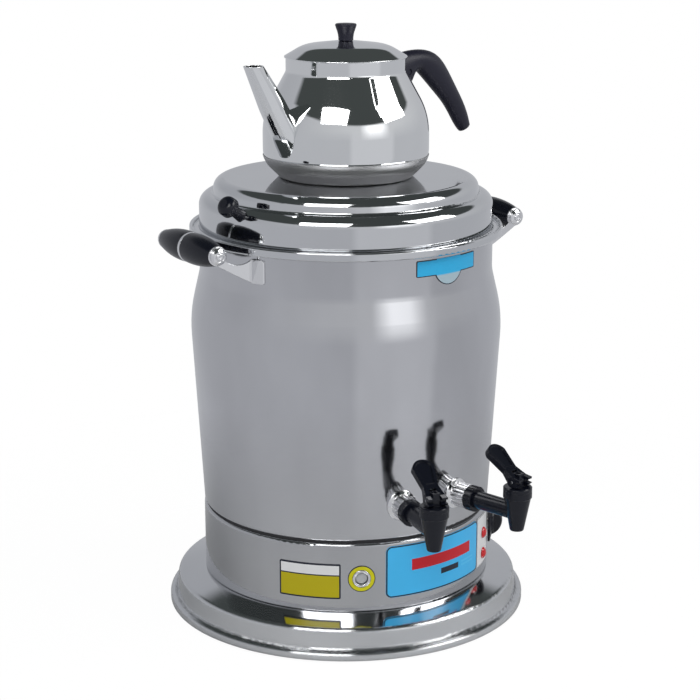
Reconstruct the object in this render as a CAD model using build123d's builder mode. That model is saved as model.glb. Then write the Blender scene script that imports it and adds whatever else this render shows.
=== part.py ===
from build123d import *
from math import asin, cos, degrees, hypot, radians, sin, sqrt
import os

os.makedirs("parts", exist_ok=True)

# Frame: origin on the floor under the axis of the urn, Z up, taps on the -Y side.
# A direction angle is 0 at the front and grows towards +X.

# Fits
FIT = 0.1
RUN = 0.4
CUT = 3.0
SHEET = 1.0

# Main sizes
HOUSING_R = 151.5
BODY_BULGE_H = 201.0
POT_BELLY_R = 85.0
SIDE_ANGLE = 90.0
BACK_ANGLE = 180.0

# Shape shares of the domed pieces
WAIST_SHARE = 0.7
FLAT_SHARE = 1.1

# Feet and base plate
FOOT_R = 10.0
FOOT_TOP_R = 8.5
FOOT_H = 35.5
FOOT_REACH = 105.0
FOOT_COUNT = 4
FOOT_PLUG_R = 4.0
FOOT_BARB_R = 5.2
FOOT_BARB_H = 3.0
PLATE_T = 1.2
PLATE_EDGE = 3.0
VENT_REACH = 70.0
VENT_L = 24.0
VENT_W = 4.0
VENT_COUNT = 12

# Base tray
TRAY_T = 1.2
TRAY_WALL_OUT = 29.0
TRAY_WALL_TOP_R = HOUSING_R + TRAY_WALL_OUT
TRAY_WALL_SLOPE = 2.5
TRAY_WALL_FOOT_R = TRAY_WALL_TOP_R + TRAY_WALL_SLOPE
TRAY_LIP_OUT = 7.0
TRAY_LIP_R = TRAY_WALL_FOOT_R + TRAY_LIP_OUT
TRAY_LIP_H = 7.5
TRAY_DEPTH = 36.0
TRAY_FLANGE_H = 8.5
TRAY_EDGE_H = 29.5
TRAY_LAND = 2.0
TRAY_BORE_IN = 20.5
TRAY_BORE_R = HOUSING_R - TRAY_BORE_IN
TRAY_LIP_ROUND = 3.0
TRAY_FLANGE_ROUND = 2.5
TRAY_EDGE_ROUND = 4.5
TRAY_TOP_ROUND = 8.0

# Heater housing
HOUSING_H = 73.0
HOUSING_FLANGE = 14.0
HOUSING_LOW_ROUND = 1.6
HOUSING_TOP_ROUND = 3.5
BASE_SCREW_R = 2.0
BASE_SCREW_HEAD_R = 3.6
BASE_SCREW_HEAD_H = 2.6
BASE_SCREW_TAIL = 4.0
BASE_SCREW_COUNT = 6
SEAM_H = 2.6
SEAM_STEP = 2.2
SEAM_W = 9.0

# Body shell, tank and rim
BODY_STEP = 0.5
BODY_FOOT_R = HOUSING_R - BODY_STEP
BODY_BULGE = 11.6
BODY_BULGE_R = BODY_FOOT_R + BODY_BULGE
NECK_STEP = 0.5
NECK_R = BODY_FOOT_R + NECK_STEP
NECK_RISE = 47.0
NECK_H = BODY_BULGE_H + NECK_RISE
NECK_L = 40.5
RIM_H = NECK_H + NECK_L
RIM_FLANGE_OUT = 6.9
RIM_FLANGE_R = NECK_R + RIM_FLANGE_OUT
BODY_FOOT_ROUND = 2.5
BODY_BULGE_ROUND = 150.0
BODY_NECK_ROUND = 40.0
BODY_RIM_ROUND = 1.5
TANK_GAP = 2.0
TANK_FLOOR = 6.0
TANK_FLOOR_ROUND = 12.0
TANK_RIM_ROUND = 1.6
BEAD_OUT = 10.0
BEAD_R = NECK_R + BEAD_OUT
BEAD_H = 4.4
BEAD_W = 3.6
BEAD_UNDER_ROUND = 2.2
BEAD_OUT_ROUND = 1.6
BEAD_IN_ROUND = 1.6
BEAD_LAND_ROUND = 1.0
BEAD_LIP = 1.0

# Lid of the urn
LID_IN = 0.3
LID_R = NECK_R - LID_IN
LID_FLANGE_GAP = 1.6
LID_BAND_H = 37.0
LID_STEP_IN = 14.0
LID_STEP_R = LID_R - LID_STEP_IN
LID_TOP_IN = 2.5
LID_TOP_R = LID_STEP_R - LID_TOP_IN
LID_TOP_H = 52.6
LID_HOLE_R = 45.0
LID_HEM = 6.0
LID_FLANGE_ROUND = 1.6
LID_SHOULDER_ROUND = 12.0
LID_STEP_ROUND = 2.0
LID_TOP_ROUND = 11.0
LID_HOLE_ROUND = 2.0
LID_KNOB_ANGLE = -77.0
LID_KNOB_TILT_ANGLE = 33.0
LID_KNOB_FOOT_R = 6.6
LID_KNOB_NECK_R = 4.8
LID_KNOB_HEAD_R = 10.2
LID_KNOB_L = 27.0
LID_KNOB_HEAD_L = 12.5
LID_KNOB_NECK_ROUND = 3.0
LID_KNOB_UNDER_ROUND = 2.0
LID_KNOB_TOP_ROUND = 6.0
LID_SCREW_R = 2.0
LID_SCREW_HEAD_R = 3.8
LID_SCREW_HEAD_H = 2.2
LID_SCREW_L = 12.0

# Taps
TAP_ANGLE = 12.5
TAP_H = 36.0
TAP_REACH = 81.0
TAP_SHANK_R = 9.0
TAP_BORE_R = 5.0
TAP_SHANK_IN = 16.0
COLLAR_FLANGE_R = 15.5
COLLAR_FLANGE_T = 4.0
COLLAR_R = 11.6
COLLAR_L = 16.0
COLLAR_RIB_W = 1.6
COLLAR_RIB_H = 0.9
COLLAR_RIB_COUNT = 18
RING_NUT_R = 13.0
RING_NUT_L = 10.0
RING_NUT_GROOVE_W = 1.5
RING_NUT_GROOVE_D = 0.8
RING_NUT_GROOVE_COUNT = 16
BACK_NUT_R = 14.5
BACK_NUT_L = 7.0
WASHER_R = 14.0
WASHER_T = 2.0
CUP_R = 14.3
CUP_UP = 22.0
CUP_DOWN = 19.0
CUP_WALL = 2.6
CUP_BAND = 7.5
CUP_GROOVE = 1.0
OUTLET_R = 6.6
OUTLET_BORE_R = 4.5
SEAT_DROP = 7.0
BONNET_T = 4.6
BONNET_PLUG = 5.0
STEM_R = 2.4
STEM_HEAD = 3.4
SEAT_CUP_R = 7.2
SEAT_CUP_H = 5.5
PIN_H = 5.6
PIN_R = 1.5
TOWER_W = 7.6
TOWER_D = 10.0
TOWER_OVER = 3.6
STEM_LIFT = 4.0
LEVER_SWING_ANGLE = 55.0
LEVER_LEAN_ANGLE = 53.0
LEVER_W = 20.0
LEVER_NECK_W = 15.5
LEVER_PADDLE_W = 23.0
LEVER_NECK_L = 14.0
LEVER_L = 45.0
LEVER_ROOT_T = 11.0
LEVER_T = 6.6
LEVER_TIP_R = 9.0
LEVER_POCKET_RIM = 2.4
LEVER_POCKET_TIP_R = 7.2
LEVER_POCKET_D = 1.3
LEVER_TOE = 9.4
LEVER_TOE_R = 2.0
CAM_STEP_COUNT = 6



def aside(reach):
    """Direction angle of a point of the housing wall that lies so far to the side."""
    return degrees(asin(reach / HOUSING_R))


# Plates and controls on the housing
LABEL_T = 0.5
PLATE_LOW = 13.0
PLATE_H = 55.0
FRONT_ANGLE = 6.0
FRONT_W = 125.0
FRONT_ROUND = 6.0
STRIP_GAP = 0.35
STRIP_W = 38.0
STRIP_ANGLE = FRONT_ANGLE + aside(FRONT_W / 2) + aside(STRIP_GAP) + aside(STRIP_W / 2)
STRIP_ROUND = 2.0
INFO_LOW = 14.5
INFO_W = 63.4
INFO_H = 37.0
INFO_ROUND = 1.5
UPPER_ANGLE = 8.1
UPPER_W = 78.4
UPPER_H = 16.4
UPPER_TOP = 6.5
UPPER_DISC_R = 19.0
UPPER_DISC_DROP = 8.4
UPPER_ROUND = 1.5
LAMP_R = 6.0
LAMP_FLANGE = 0.7
LAMP_DOME = 3.2
LAMP_LOW = 24.5
LAMP_PITCH = 22.8
LAMP_BODY_R = 5.0
LAMP_BODY_L = 22.0
LAMP_NUT_R = 8.0
LAMP_NUT_T = 3.0
RESET_H = 36.0
RESET_R = 6.2
RESET_L = 12.0
RESET_SINK = 1.6
RESET_TRAVEL = 2.5
BEZEL_R = 7.6
BEZEL_FLANGE = 1.4
BEZEL_T = 1.0
BEZEL_L = 15.0
CUTOUT_R = 11.0
CUTOUT_L = 18.0
MARK_R = 13.9
MARK_GAP = 10.75
RESET_ANGLE = FRONT_ANGLE - aside(FRONT_W / 2) - aside(MARK_GAP) - aside(MARK_R)
INFO_GAP = 7.0
INFO_ANGLE = RESET_ANGLE - aside(MARK_R) - aside(INFO_GAP) - aside(INFO_W / 2)
DIAL_H = 46.5
DIAL_R = 24.0
DIAL_ANGLE = STRIP_ANGLE + aside(STRIP_W / 2) + aside(DIAL_R)
DIAL_T = 4.2
DIAL_GRIP_R = 16.3
DIAL_GRIP_H = 11.5
DIAL_SHAFT_R = 3.0
DIAL_SHAFT_L = 9.0
STAT_NECK_R = 5.0
STAT_W = 34.0
STAT_D = 26.0
STAT_SET = 8.0
GLAND_R = 8.0
GLAND_FLANGE_R = 12.0
GLAND_FLANGE_T = 5.0
GLAND_NOSE = 13.0
GLAND_IN = 10.0
GLAND_BORE_R = 4.0
GLAND_H = 26.0
BLOCK_L = 52.0
BLOCK_W = 22.0
BLOCK_H = 18.0
BLOCK_REACH = 40.0
BLOCK_POLE_R = 3.0
BLOCK_POLE_COUNT = 4

# Heating element
COIL_R = 88.0
COIL_TUBE_R = 4.25
COIL_RISE = 20.0
COIL_BEND = 14.0
COIL_TAIL = 20.0
COIL_START_ANGLE = 110.0
COIL_SPAN_ANGLE = 320.0
COIL_NUT_R = 9.0
COIL_NUT_T = 6.0
COIL_WASHER_R = 8.5
COIL_WASHER_T = 1.5

# Carry handles
GRIP_OUT = 30.5
GRIP_REACH = NECK_R + GRIP_OUT
GRIP_OVER_RIM = 0.2
GRIP_HALF = 49.5
GRIP_MID_R = 15.2
GRIP_END_R = 9.8
GRIP_SHOULDER = 16.0
GRIP_RING_R = 15.1
GRIP_RING_W = 4.0
ROD_R = 4.0
ARM_T = 2.0
ARM_EYE_R = 9.6
ARM_FOOT_TOP = 5.0
ARM_FOOT_H = 24.0
ARM_FOOT_W = 15.0
ARM_WAIST_H = 13.0
ARM_WAIST_DROP = 8.5
ARM_WAIST_REACH = 13.0
CAP_R = 8.4
CAP_L = 5.6
CAP_BORE = 3.0
CAP_ROUND = 3.0
CAP_GROOVE_R = 4.8
CAP_GROOVE_W = 1.2
CAP_GROOVE_D = 1.6
CAP_DOT_R = 1.4
CAP_DOT_D = 0.9

# Teapot
POT_ANGLE = -80.0
POT_FOOT_IN = 17.5
POT_FOOT_R = POT_BELLY_R - POT_FOOT_IN
POT_BELLY_LOW = 17.5
POT_BELLY_L = 45.0
POT_BELLY_TOP = POT_BELLY_LOW + POT_BELLY_L
POT_NECK_IN = 24.0
POT_NECK_R = POT_BELLY_R - POT_NECK_IN
POT_SHOULDER_H = 43.5
POT_NECK_LOW = POT_BELLY_TOP + POT_SHOULDER_H
POT_NECK_L = 14.0
POT_H = POT_NECK_LOW + POT_NECK_L
POT_FOOT_ROUND = 6.0
POT_LOW_ROUND = 25.0
POT_BELLY_ROUND = 75.0
POT_NECK_ROUND = 6.0
POT_CAP_T = 0.8
POT_CAP_H = 21.6
POT_VENT_R = 1.6
POT_VENT_ANGLE = 15.0
POT_VENT_DROP = 6.0
SPOUT_DROP = 7.5
SPOUT_H = POT_BELLY_TOP - SPOUT_DROP
SPOUT_TILT_ANGLE = 31.0
SPOUT_ROOT_R = 15.5
SPOUT_MID_R = 13.4
SPOUT_TIP_R = 7.6
SPOUT_MID_L = 30.0
SPOUT_L = 90.0
SPOUT_BACK = 24.0
SPOUT_ROUND = 90.0
SPOUT_HOLE_R = 11.0
ARC_ROOT_OUT = 1.0
ARC_ROOT_R = POT_NECK_R + ARC_ROOT_OUT
ARC_ROOT_DROP = 9.5
ARC_ROOT_H = POT_NECK_LOW - ARC_ROOT_DROP
ARC_TOP_OUT = 46.5
ARC_TOP_R = POT_NECK_R + ARC_TOP_OUT
ARC_TOP_RISE = 16.8
ARC_TOP_H = ARC_ROOT_H + ARC_TOP_RISE
ARC_SIDE_OUT = 41.5
ARC_SIDE_R = ARC_TOP_R + ARC_SIDE_OUT
ARC_SIDE_DROP = 38.5
ARC_SIDE_H = ARC_TOP_H - ARC_SIDE_DROP
ARC_END_OUT = 27.8
ARC_END_R = ARC_SIDE_R + ARC_END_OUT
ARC_END_DROP = 43.0
ARC_END_H = ARC_SIDE_H - ARC_END_DROP
ARC_TOP_ROUND = 20.0
ARC_SIDE_ROUND = 60.0
ARC_DEEP = 14.4
ARC_WIDE = 11.0
ARC_SPOT_SHARES = (0.0, 0.2, 0.38, 0.58, 0.76, 0.94, 1.0)
ARC_DEEP_SHARES = (0.88, 0.93, 0.98, 0.93, 0.76, 0.63, 0.52)
ARC_WIDE_SHARES = (0.92, 0.95, 1.0, 0.98, 0.84, 0.74, 0.58)
TONGUE_W = 5.0
TONGUE_H = 9.0
TONGUE_L = 14.0
BRACKET_OUT = 13.0
BRACKET_R = POT_NECK_R + BRACKET_OUT
BRACKET_DROP = 7.0
BRACKET_RISE = POT_NECK_LOW - BRACKET_DROP
BRACKET_W = 12.0
BRACKET_H = 13.0
BRACKET_ROUND = 3.0
ARC_SCREW_R = 1.8
ARC_SCREW_HEAD_R = 3.2
ARC_SCREW_HEAD_T = 1.6
ARC_SCREW_REACH = 8.0
ARC_SCREW_SEAT = 7.6
ARC_SCREW_TAIL = 6.0
POT_LID_OUT = 1.4
POT_LID_R = POT_NECK_R + POT_LID_OUT
POT_LID_SHOULDER_IN = 18.4
POT_LID_SHOULDER_R = POT_LID_R - POT_LID_SHOULDER_IN
POT_LID_SHOULDER_H = 11.9
POT_LID_H = 16.0
POT_LID_FLAT_R = 12.0
POT_LID_SHOULDER_ROUND = 36.0
POT_LID_TOP_ROUND = 60.0
POT_PLUG_H = 8.0
POT_KNOB_R = 7.6
POT_KNOB_TOP_R = 11.5
POT_KNOB_H = 17.2
POT_KNOB_WAIST_H = 6.0
POT_KNOB_ROUND = 24.0
POT_KNOB_EDGE = 1.5
POT_SCREW_R = 2.0
POT_SCREW_HEAD_R = 4.0
POT_SCREW_HEAD_H = 2.0
POT_SCREW_L = 10.0

# Heights worked out from the stack
plate_z = FOOT_H
tray_z = plate_z + PLATE_T + TRAY_T
lip_z = tray_z - TRAY_DEPTH
seam_z = tray_z + HOUSING_H
body_z = seam_z + SEAM_H
rim_z = body_z + RIM_H
tank_r = NECK_R - SHEET - TANK_GAP
tank_z = body_z + TANK_FLOOR
land_z = rim_z + SHEET + SHEET + FIT
lid_z = land_z + LID_TOP_H
shoulder_z = land_z + LID_BAND_H
tap_z = body_z + TAP_H
pin_z = tap_z + CUP_UP + BONNET_T + PIN_H
pot_z = lid_z + FIT + POT_CAP_T
pot_rim_z = pot_z + POT_H
dial_z = tray_z + DIAL_H
reset_z = tray_z + RESET_H
gland_z = tray_z + GLAND_H
grip_z = rim_z + GRIP_OVER_RIM
bracket_z = pot_z + BRACKET_RISE
arc_screw_y = BRACKET_R + ARC_SCREW_REACH
screw_ring_r = HOUSING_R - SHEET - HOUSING_FLANGE / 2
fork_r = hypot(PIN_H + STEM_LIFT, STEM_LIFT / radians(LEVER_SWING_ANGLE)) + RUN

# Rounds of the pressed skins, in the order of their corners
tray_rounds = (TRAY_LIP_ROUND, TRAY_FLANGE_ROUND, TRAY_EDGE_ROUND, TRAY_TOP_ROUND)
housing_rounds = (HOUSING_LOW_ROUND, HOUSING_TOP_ROUND)
body_rounds = (BODY_FOOT_ROUND, BODY_BULGE_ROUND, BODY_NECK_ROUND, BODY_RIM_ROUND)
tank_rounds = (TANK_FLOOR_ROUND, TANK_RIM_ROUND)
bead_rounds = (BEAD_UNDER_ROUND, BEAD_OUT_ROUND, BEAD_IN_ROUND, BEAD_LAND_ROUND)
lid_knob_rounds = (LID_KNOB_NECK_ROUND, LID_KNOB_UNDER_ROUND, LID_KNOB_TOP_ROUND)
pot_lid_rounds = (POT_LID_SHOULDER_ROUND, POT_LID_TOP_ROUND)
lid_rounds = (LID_FLANGE_ROUND, LID_SHOULDER_ROUND, LID_STEP_ROUND, LID_TOP_ROUND, LID_HOLE_ROUND)
pot_rounds = (POT_FOOT_ROUND, POT_LOW_ROUND, POT_BELLY_ROUND, POT_NECK_ROUND)
arc_rounds = (ARC_TOP_ROUND, ARC_SIDE_ROUND)


def save(part, name):
    part.label = name
    export_step(part, f"parts/{name}.step")


def facing(turn, reach, height):
    """Plane that looks outward at a direction angle, a reach from the axis and a height."""
    s = sin(radians(turn))
    c = cos(radians(turn))
    return Plane(origin=(reach * s, -reach * c, height), x_dir=(c, s, 0), z_dir=(s, -c, 0))


def parallel(points, rounds, gap):
    """Corners and rounds of the path that runs a gap to the left of a rounded path."""
    corners = [Vector(*point) for point in points]
    ways = [(b - a).normalized() for a, b in zip(corners, corners[1:])]
    lefts = [Vector(-way.Y, way.X) for way in ways]
    moved = [corners[0] + lefts[0] * gap]
    bends = []
    for corner, before, after, bend in zip(corners[1:], lefts, lefts[1:], rounds):
        moved.append(corner + (before + after) * (gap / (1 + before.dot(after))))
        left_turn = before.X * after.Y - before.Y * after.X > 0
        bends.append(bend - gap if left_turn else bend + gap)
    moved.append(corners[-1] + lefts[-1] * gap)
    return moved, bends


def layer(points, rounds, near, far):
    """Turned sheet between two paths that run to the left of the points."""
    near_points, near_rounds = parallel(points, rounds, near)
    far_points, far_rounds = parallel(points, rounds, far)
    with BuildPart() as piece:
        with BuildSketch(Plane.XZ):
            with BuildLine():
                one = FilletPolyline(*near_points, radius=near_rounds)
                two = FilletPolyline(*far_points, radius=far_rounds)
                Line(one @ 0, two @ 0)
                Line(one @ 1, two @ 1)
            make_face()
        revolve(axis=Axis.Z)
    return piece.part


def pressed(points, rounds, sheet):
    """Turned sheet whose outer skin runs through the points and is rounded at its corners."""
    return layer(points, rounds, 0, sheet)


def turned(points, rounds):
    """Solid turned about Z from a skin that starts and ends at the axis."""
    with BuildPart() as piece:
        with BuildSketch(Plane.XZ):
            with BuildLine() as skin:
                FilletPolyline(*points, radius=rounds)
                Line(skin.line @ 1, skin.line @ 0)
            make_face()
        revolve(axis=Axis.Z)
    return piece.part


def dome_middle(start, radius, rise):
    """Point halfway up a ball-shaped dome, as its reach along the axis and its radius."""
    ball = (radius**2 + rise**2) / (rise + rise)
    across = radius * WAIST_SHARE
    return start + rise - ball + sqrt(ball**2 - across**2), across


def ring(outer, inner, low, height):
    with BuildPart() as piece:
        with BuildSketch(Plane.XY.offset(low)):
            Circle(outer)
            Circle(inner, mode=Mode.SUBTRACT)
        extrude(amount=height)
    return piece.part


def body_wall(height):
    """Outer radius of the body shell on its lower, widening stretch."""
    rise = (height - body_z) / BODY_BULGE_H
    return BODY_FOOT_R + (BODY_BULGE_R - BODY_FOOT_R) * rise


def body_points(grow):
    foot = BODY_FOOT_R + grow
    return [
        (foot, body_z),
        (BODY_BULGE_R + grow, body_z + BODY_BULGE_H),
        (NECK_R + grow, body_z + NECK_H),
        (NECK_R + grow, rim_z - SHEET),
    ]


def body_block(grow):
    """Body filled solid and grown a little, to trim pieces that lie on it."""
    skin = [(0, body_z)] + body_points(grow) + [(0, rim_z - SHEET)]
    with BuildPart() as piece:
        with BuildSketch(Plane.XZ):
            with BuildLine():
                Polyline(*skin, close=True)
            make_face()
        revolve(axis=Axis.Z)
    return piece.part


def housing_block(grow):
    with BuildPart() as piece:
        with BuildSketch(Plane.XY.offset(tray_z)):
            Circle(HOUSING_R + grow)
        extrude(amount=HOUSING_H)
    return piece.part


# Base


def base_tray():
    skin = [
        (TRAY_LIP_R, lip_z),
        (TRAY_LIP_R, lip_z + TRAY_LIP_H),
        (TRAY_WALL_FOOT_R, lip_z + TRAY_FLANGE_H),
        (TRAY_WALL_TOP_R, lip_z + TRAY_EDGE_H),
        (HOUSING_R + TRAY_LAND, tray_z),
        (TRAY_BORE_R, tray_z),
    ]
    with BuildPart() as tray:
        add(pressed(skin, tray_rounds, TRAY_T))
        with BuildSketch(Plane.XY.offset(plate_z)):
            with PolarLocations(screw_ring_r, BASE_SCREW_COUNT):
                Circle(BASE_SCREW_R + FIT)
        extrude(amount=PLATE_T + TRAY_T + CUT, mode=Mode.SUBTRACT)
    return tray.part


def base_plate():
    with BuildPart() as plate:
        with BuildSketch(Plane.XY.offset(plate_z)):
            Circle(HOUSING_R - PLATE_EDGE)
            with PolarLocations(VENT_REACH, VENT_COUNT):
                SlotOverall(VENT_L, VENT_W, mode=Mode.SUBTRACT)
            with PolarLocations(screw_ring_r, BASE_SCREW_COUNT):
                Circle(BASE_SCREW_R + FIT, mode=Mode.SUBTRACT)
            with PolarLocations(FOOT_REACH, FOOT_COUNT):
                Circle(FOOT_PLUG_R + FIT, mode=Mode.SUBTRACT)
            Circle(FOOT_PLUG_R + FIT, mode=Mode.SUBTRACT)
        extrude(amount=PLATE_T)
    return plate.part


def foot():
    barb_z = FOOT_H + PLATE_T + FIT
    skin = [
        (0, 0),
        (FOOT_R, 0),
        (FOOT_TOP_R, FOOT_H),
        (FOOT_PLUG_R, FOOT_H),
        (FOOT_PLUG_R, barb_z),
        (FOOT_BARB_R, barb_z),
        (FOOT_PLUG_R, barb_z + FOOT_BARB_H),
        (0, barb_z + FOOT_BARB_H),
    ]
    with BuildPart() as one:
        with BuildSketch(Plane.XZ):
            with BuildLine():
                Polyline(*skin, close=True)
            make_face()
        revolve(axis=Axis.Z)
    return one.part


def feet():
    with BuildPart() as group:
        add(foot())
        with PolarLocations(FOOT_REACH, FOOT_COUNT):
            add(foot())
    return group.part


def base_screws():
    with BuildPart() as group:
        with BuildSketch(Plane.XY.offset(plate_z - FIT)):
            with PolarLocations(screw_ring_r, BASE_SCREW_COUNT):
                Circle(BASE_SCREW_R)
        extrude(amount=PLATE_T + TRAY_T + SHEET + BASE_SCREW_TAIL)
        with BuildSketch(Plane.XY.offset(plate_z)):
            with PolarLocations(screw_ring_r, BASE_SCREW_COUNT):
                Circle(BASE_SCREW_HEAD_R)
        extrude(amount=-BASE_SCREW_HEAD_H)
    return group.part


def heater_housing():
    skin = [
        (HOUSING_R - HOUSING_FLANGE, tray_z),
        (HOUSING_R, tray_z),
        (HOUSING_R, seam_z),
        (HOUSING_R - HOUSING_FLANGE, seam_z),
    ]
    with BuildPart() as housing:
        add(pressed(skin, housing_rounds, SHEET))
        with BuildSketch(Plane.XY.offset(tray_z - CUT)):
            with PolarLocations(screw_ring_r, BASE_SCREW_COUNT):
                Circle(BASE_SCREW_R + FIT)
        extrude(amount=SHEET + CUT + CUT, mode=Mode.SUBTRACT)
        for turn, height, radius in housing_holes():
            with BuildSketch(facing(turn, HOUSING_R + CUT, height)):
                Circle(radius)
            extrude(amount=-(SHEET + CUT + CUT), mode=Mode.SUBTRACT)
    return housing.part


def lamp_heights():
    low = tray_z + LAMP_LOW
    return (low, low + LAMP_PITCH)


def housing_holes():
    holes = [(STRIP_ANGLE, height, LAMP_BODY_R + FIT) for height in lamp_heights()]
    holes.append((RESET_ANGLE, reset_z, BEZEL_R + FIT))
    holes.append((DIAL_ANGLE, dial_z, STAT_NECK_R + FIT))
    holes.append((BACK_ANGLE, gland_z, GLAND_R + FIT))
    return holes


def seam_ring():
    return ring(HOUSING_R - SEAM_STEP, HOUSING_R - SEAM_STEP - SEAM_W, seam_z, SEAM_H)


# Body, tank and rim


def body_shell():
    skin = [(BODY_FOOT_R - HOUSING_FLANGE, body_z)] + body_points(0) + [(RIM_FLANGE_R, rim_z - SHEET)]
    with BuildPart() as shell:
        add(pressed(skin, body_rounds, SHEET))
        for turn in tap_turns():
            with BuildSketch(facing(turn, tank_r - TANK_GAP, tap_z)):
                Circle(TAP_SHANK_R + FIT)
            extrude(amount=BODY_BULGE_R - tank_r + CUT, mode=Mode.SUBTRACT)
    return shell.part


def tap_turns():
    return (-TAP_ANGLE, TAP_ANGLE)


def water_tank():
    skin = [(0, tank_z), (tank_r, tank_z), (tank_r, rim_z), (RIM_FLANGE_R, rim_z)]
    with BuildPart() as tank:
        add(pressed(skin, tank_rounds, SHEET))
        for turn in tap_turns():
            with BuildSketch(facing(turn, tank_r - CUT, tap_z)):
                Circle(TAP_SHANK_R + FIT)
            extrude(amount=CUT + CUT, mode=Mode.SUBTRACT)
        with BuildSketch(Plane.XY.offset(tank_z - CUT)):
            with Locations(*coil_legs()):
                Circle(COIL_TUBE_R + FIT)
        extrude(amount=SHEET + CUT + CUT, mode=Mode.SUBTRACT)
    return tank.part


def rim_ring():
    under_z = rim_z - SHEET - SHEET - FIT
    skin = [
        (NECK_R + BEAD_LIP, under_z),
        (BEAD_R, under_z),
        (BEAD_R, land_z + BEAD_H),
        (BEAD_R - BEAD_W, land_z + BEAD_H),
        (BEAD_R - BEAD_W, land_z),
        (tank_r, land_z),
    ]
    return pressed(skin, bead_rounds, SHEET)


# Heating element


def coil_end(turn, way):
    """Point on the coil, with the foot of the leg that leaves it there."""
    s = sin(radians(turn))
    c = cos(radians(turn))
    point = Vector(COIL_R * c, COIL_R * s, tank_z + COIL_RISE)
    along = Vector(-s, c, 0) * way
    return point, point + along * COIL_BEND - Vector(0, 0, COIL_BEND)


def coil_legs():
    first = coil_end(COIL_START_ANGLE, -1)[1]
    last = coil_end(COIL_START_ANGLE + COIL_SPAN_ANGLE, 1)[1]
    return [(first.X, first.Y), (last.X, last.Y)]


def heating_element():
    start, start_leg = coil_end(COIL_START_ANGLE, -1)
    end, end_leg = coil_end(COIL_START_ANGLE + COIL_SPAN_ANGLE, 1)
    foot_z = tank_z - COIL_TAIL
    with BuildPart() as element:
        with BuildLine() as path:
            up = Line((start_leg.X, start_leg.Y, foot_z), start_leg)
            TangentArc(start_leg, start, tangent=up % 1)
            CenterArc((0, 0, tank_z + COIL_RISE), COIL_R, COIL_START_ANGLE, COIL_SPAN_ANGLE)
            down = Line(end_leg, (end_leg.X, end_leg.Y, foot_z))
            TangentArc(end_leg, end, tangent=(0, 0, 1))
        with BuildSketch(Plane(origin=(start_leg.X, start_leg.Y, foot_z))):
            Circle(COIL_TUBE_R)
        sweep(path=path.wire())
    return element.part


def leg_rings(radius, low, height):
    with BuildPart() as group:
        with BuildSketch(Plane.XY.offset(low)):
            with Locations(*coil_legs()):
                RegularPolygon(radius, 6)
                Circle(COIL_TUBE_R + FIT, mode=Mode.SUBTRACT)
        extrude(amount=height)
    return group.part


def heater_washers():
    with BuildPart() as group:
        with BuildSketch(Plane.XY.offset(tank_z - COIL_WASHER_T)):
            with Locations(*coil_legs()):
                Circle(COIL_WASHER_R)
                Circle(COIL_TUBE_R + FIT, mode=Mode.SUBTRACT)
        extrude(amount=COIL_WASHER_T)
    return group.part


def heater_nuts():
    return leg_rings(COIL_NUT_R, tank_z - COIL_WASHER_T - COIL_NUT_T, COIL_NUT_T)


# Electric parts in the housing


def on_wall(part, turn):
    return part.rotate(Axis.Z, turn)


def turned_out(points, height):
    """Solid turned about the line that points out of the front at a height."""
    with BuildPart() as piece:
        with BuildSketch(Plane.YZ):
            with BuildLine():
                Polyline(*[(-reach, height + radius) for reach, radius in points], close=True)
            make_face()
        revolve(axis=Axis((0, 0, height), (0, 1, 0)))
    return piece.part


def reset_bezel():
    inside = HOUSING_R - BEZEL_L
    bore = RESET_R + RUN
    edge = HOUSING_R + BEZEL_T
    flange = BEZEL_R + BEZEL_FLANGE
    tube = [(inside, bore), (inside, BEZEL_R), (edge, BEZEL_R), (edge, bore)]
    rim = [(HOUSING_R - SHEET, bore), (HOUSING_R - SHEET, flange), (edge, flange), (edge, bore)]
    with BuildPart() as lip:
        add(turned_out(rim, reset_z))
        add(housing_block(FIT), mode=Mode.SUBTRACT)
    with BuildPart() as bezel:
        add(turned_out(tube, reset_z))
        add(lip.part)
    return on_wall(bezel.part, RESET_ANGLE)


def reset_button():
    front = HOUSING_R - RESET_SINK
    back = front - RESET_L
    edge = RESET_R - RESET_SINK / 2
    stalk = RESET_R / 2
    collar = back + RESET_L / 2
    skin = [
        (back, 0),
        (back, stalk),
        (collar, stalk),
        (collar, RESET_R),
        (front - RESET_SINK / 2, RESET_R),
        (front, edge),
        (front, 0),
    ]
    return on_wall(turned_out(skin, reset_z), RESET_ANGLE)


def thermal_cutout():
    front = HOUSING_R - BEZEL_L - FIT
    back = front - CUTOUT_L
    well = HOUSING_R - RESET_SINK - RESET_L - RESET_TRAVEL - RUN - RUN
    stalk = RESET_R / 2 + RUN
    skin = [
        (back, 0),
        (back, CUTOUT_R),
        (front, CUTOUT_R),
        (front, stalk),
        (well, stalk),
        (well, 0),
    ]
    return on_wall(turned_out(skin, reset_z), RESET_ANGLE)


def thermostat_body():
    neck = HOUSING_R - SHEET / 2
    front = HOUSING_R - STAT_SET
    back = front - STAT_D
    with BuildPart() as stat:
        with BuildSketch(Plane.XZ.offset(back)):
            with Locations((0, dial_z)):
                RectangleRounded(STAT_W, STAT_W, STAT_NECK_R)
        extrude(amount=STAT_D)
        with BuildSketch(Plane.XZ.offset(front)):
            with Locations((0, dial_z)):
                Circle(STAT_NECK_R)
        extrude(amount=neck - front)
        with BuildSketch(Plane.XZ.offset(neck)):
            with Locations((0, dial_z)):
                Circle(DIAL_SHAFT_R + RUN)
        extrude(amount=-(neck - front + DIAL_SHAFT_L), mode=Mode.SUBTRACT)
    return on_wall(stat.part, DIAL_ANGLE)


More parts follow.
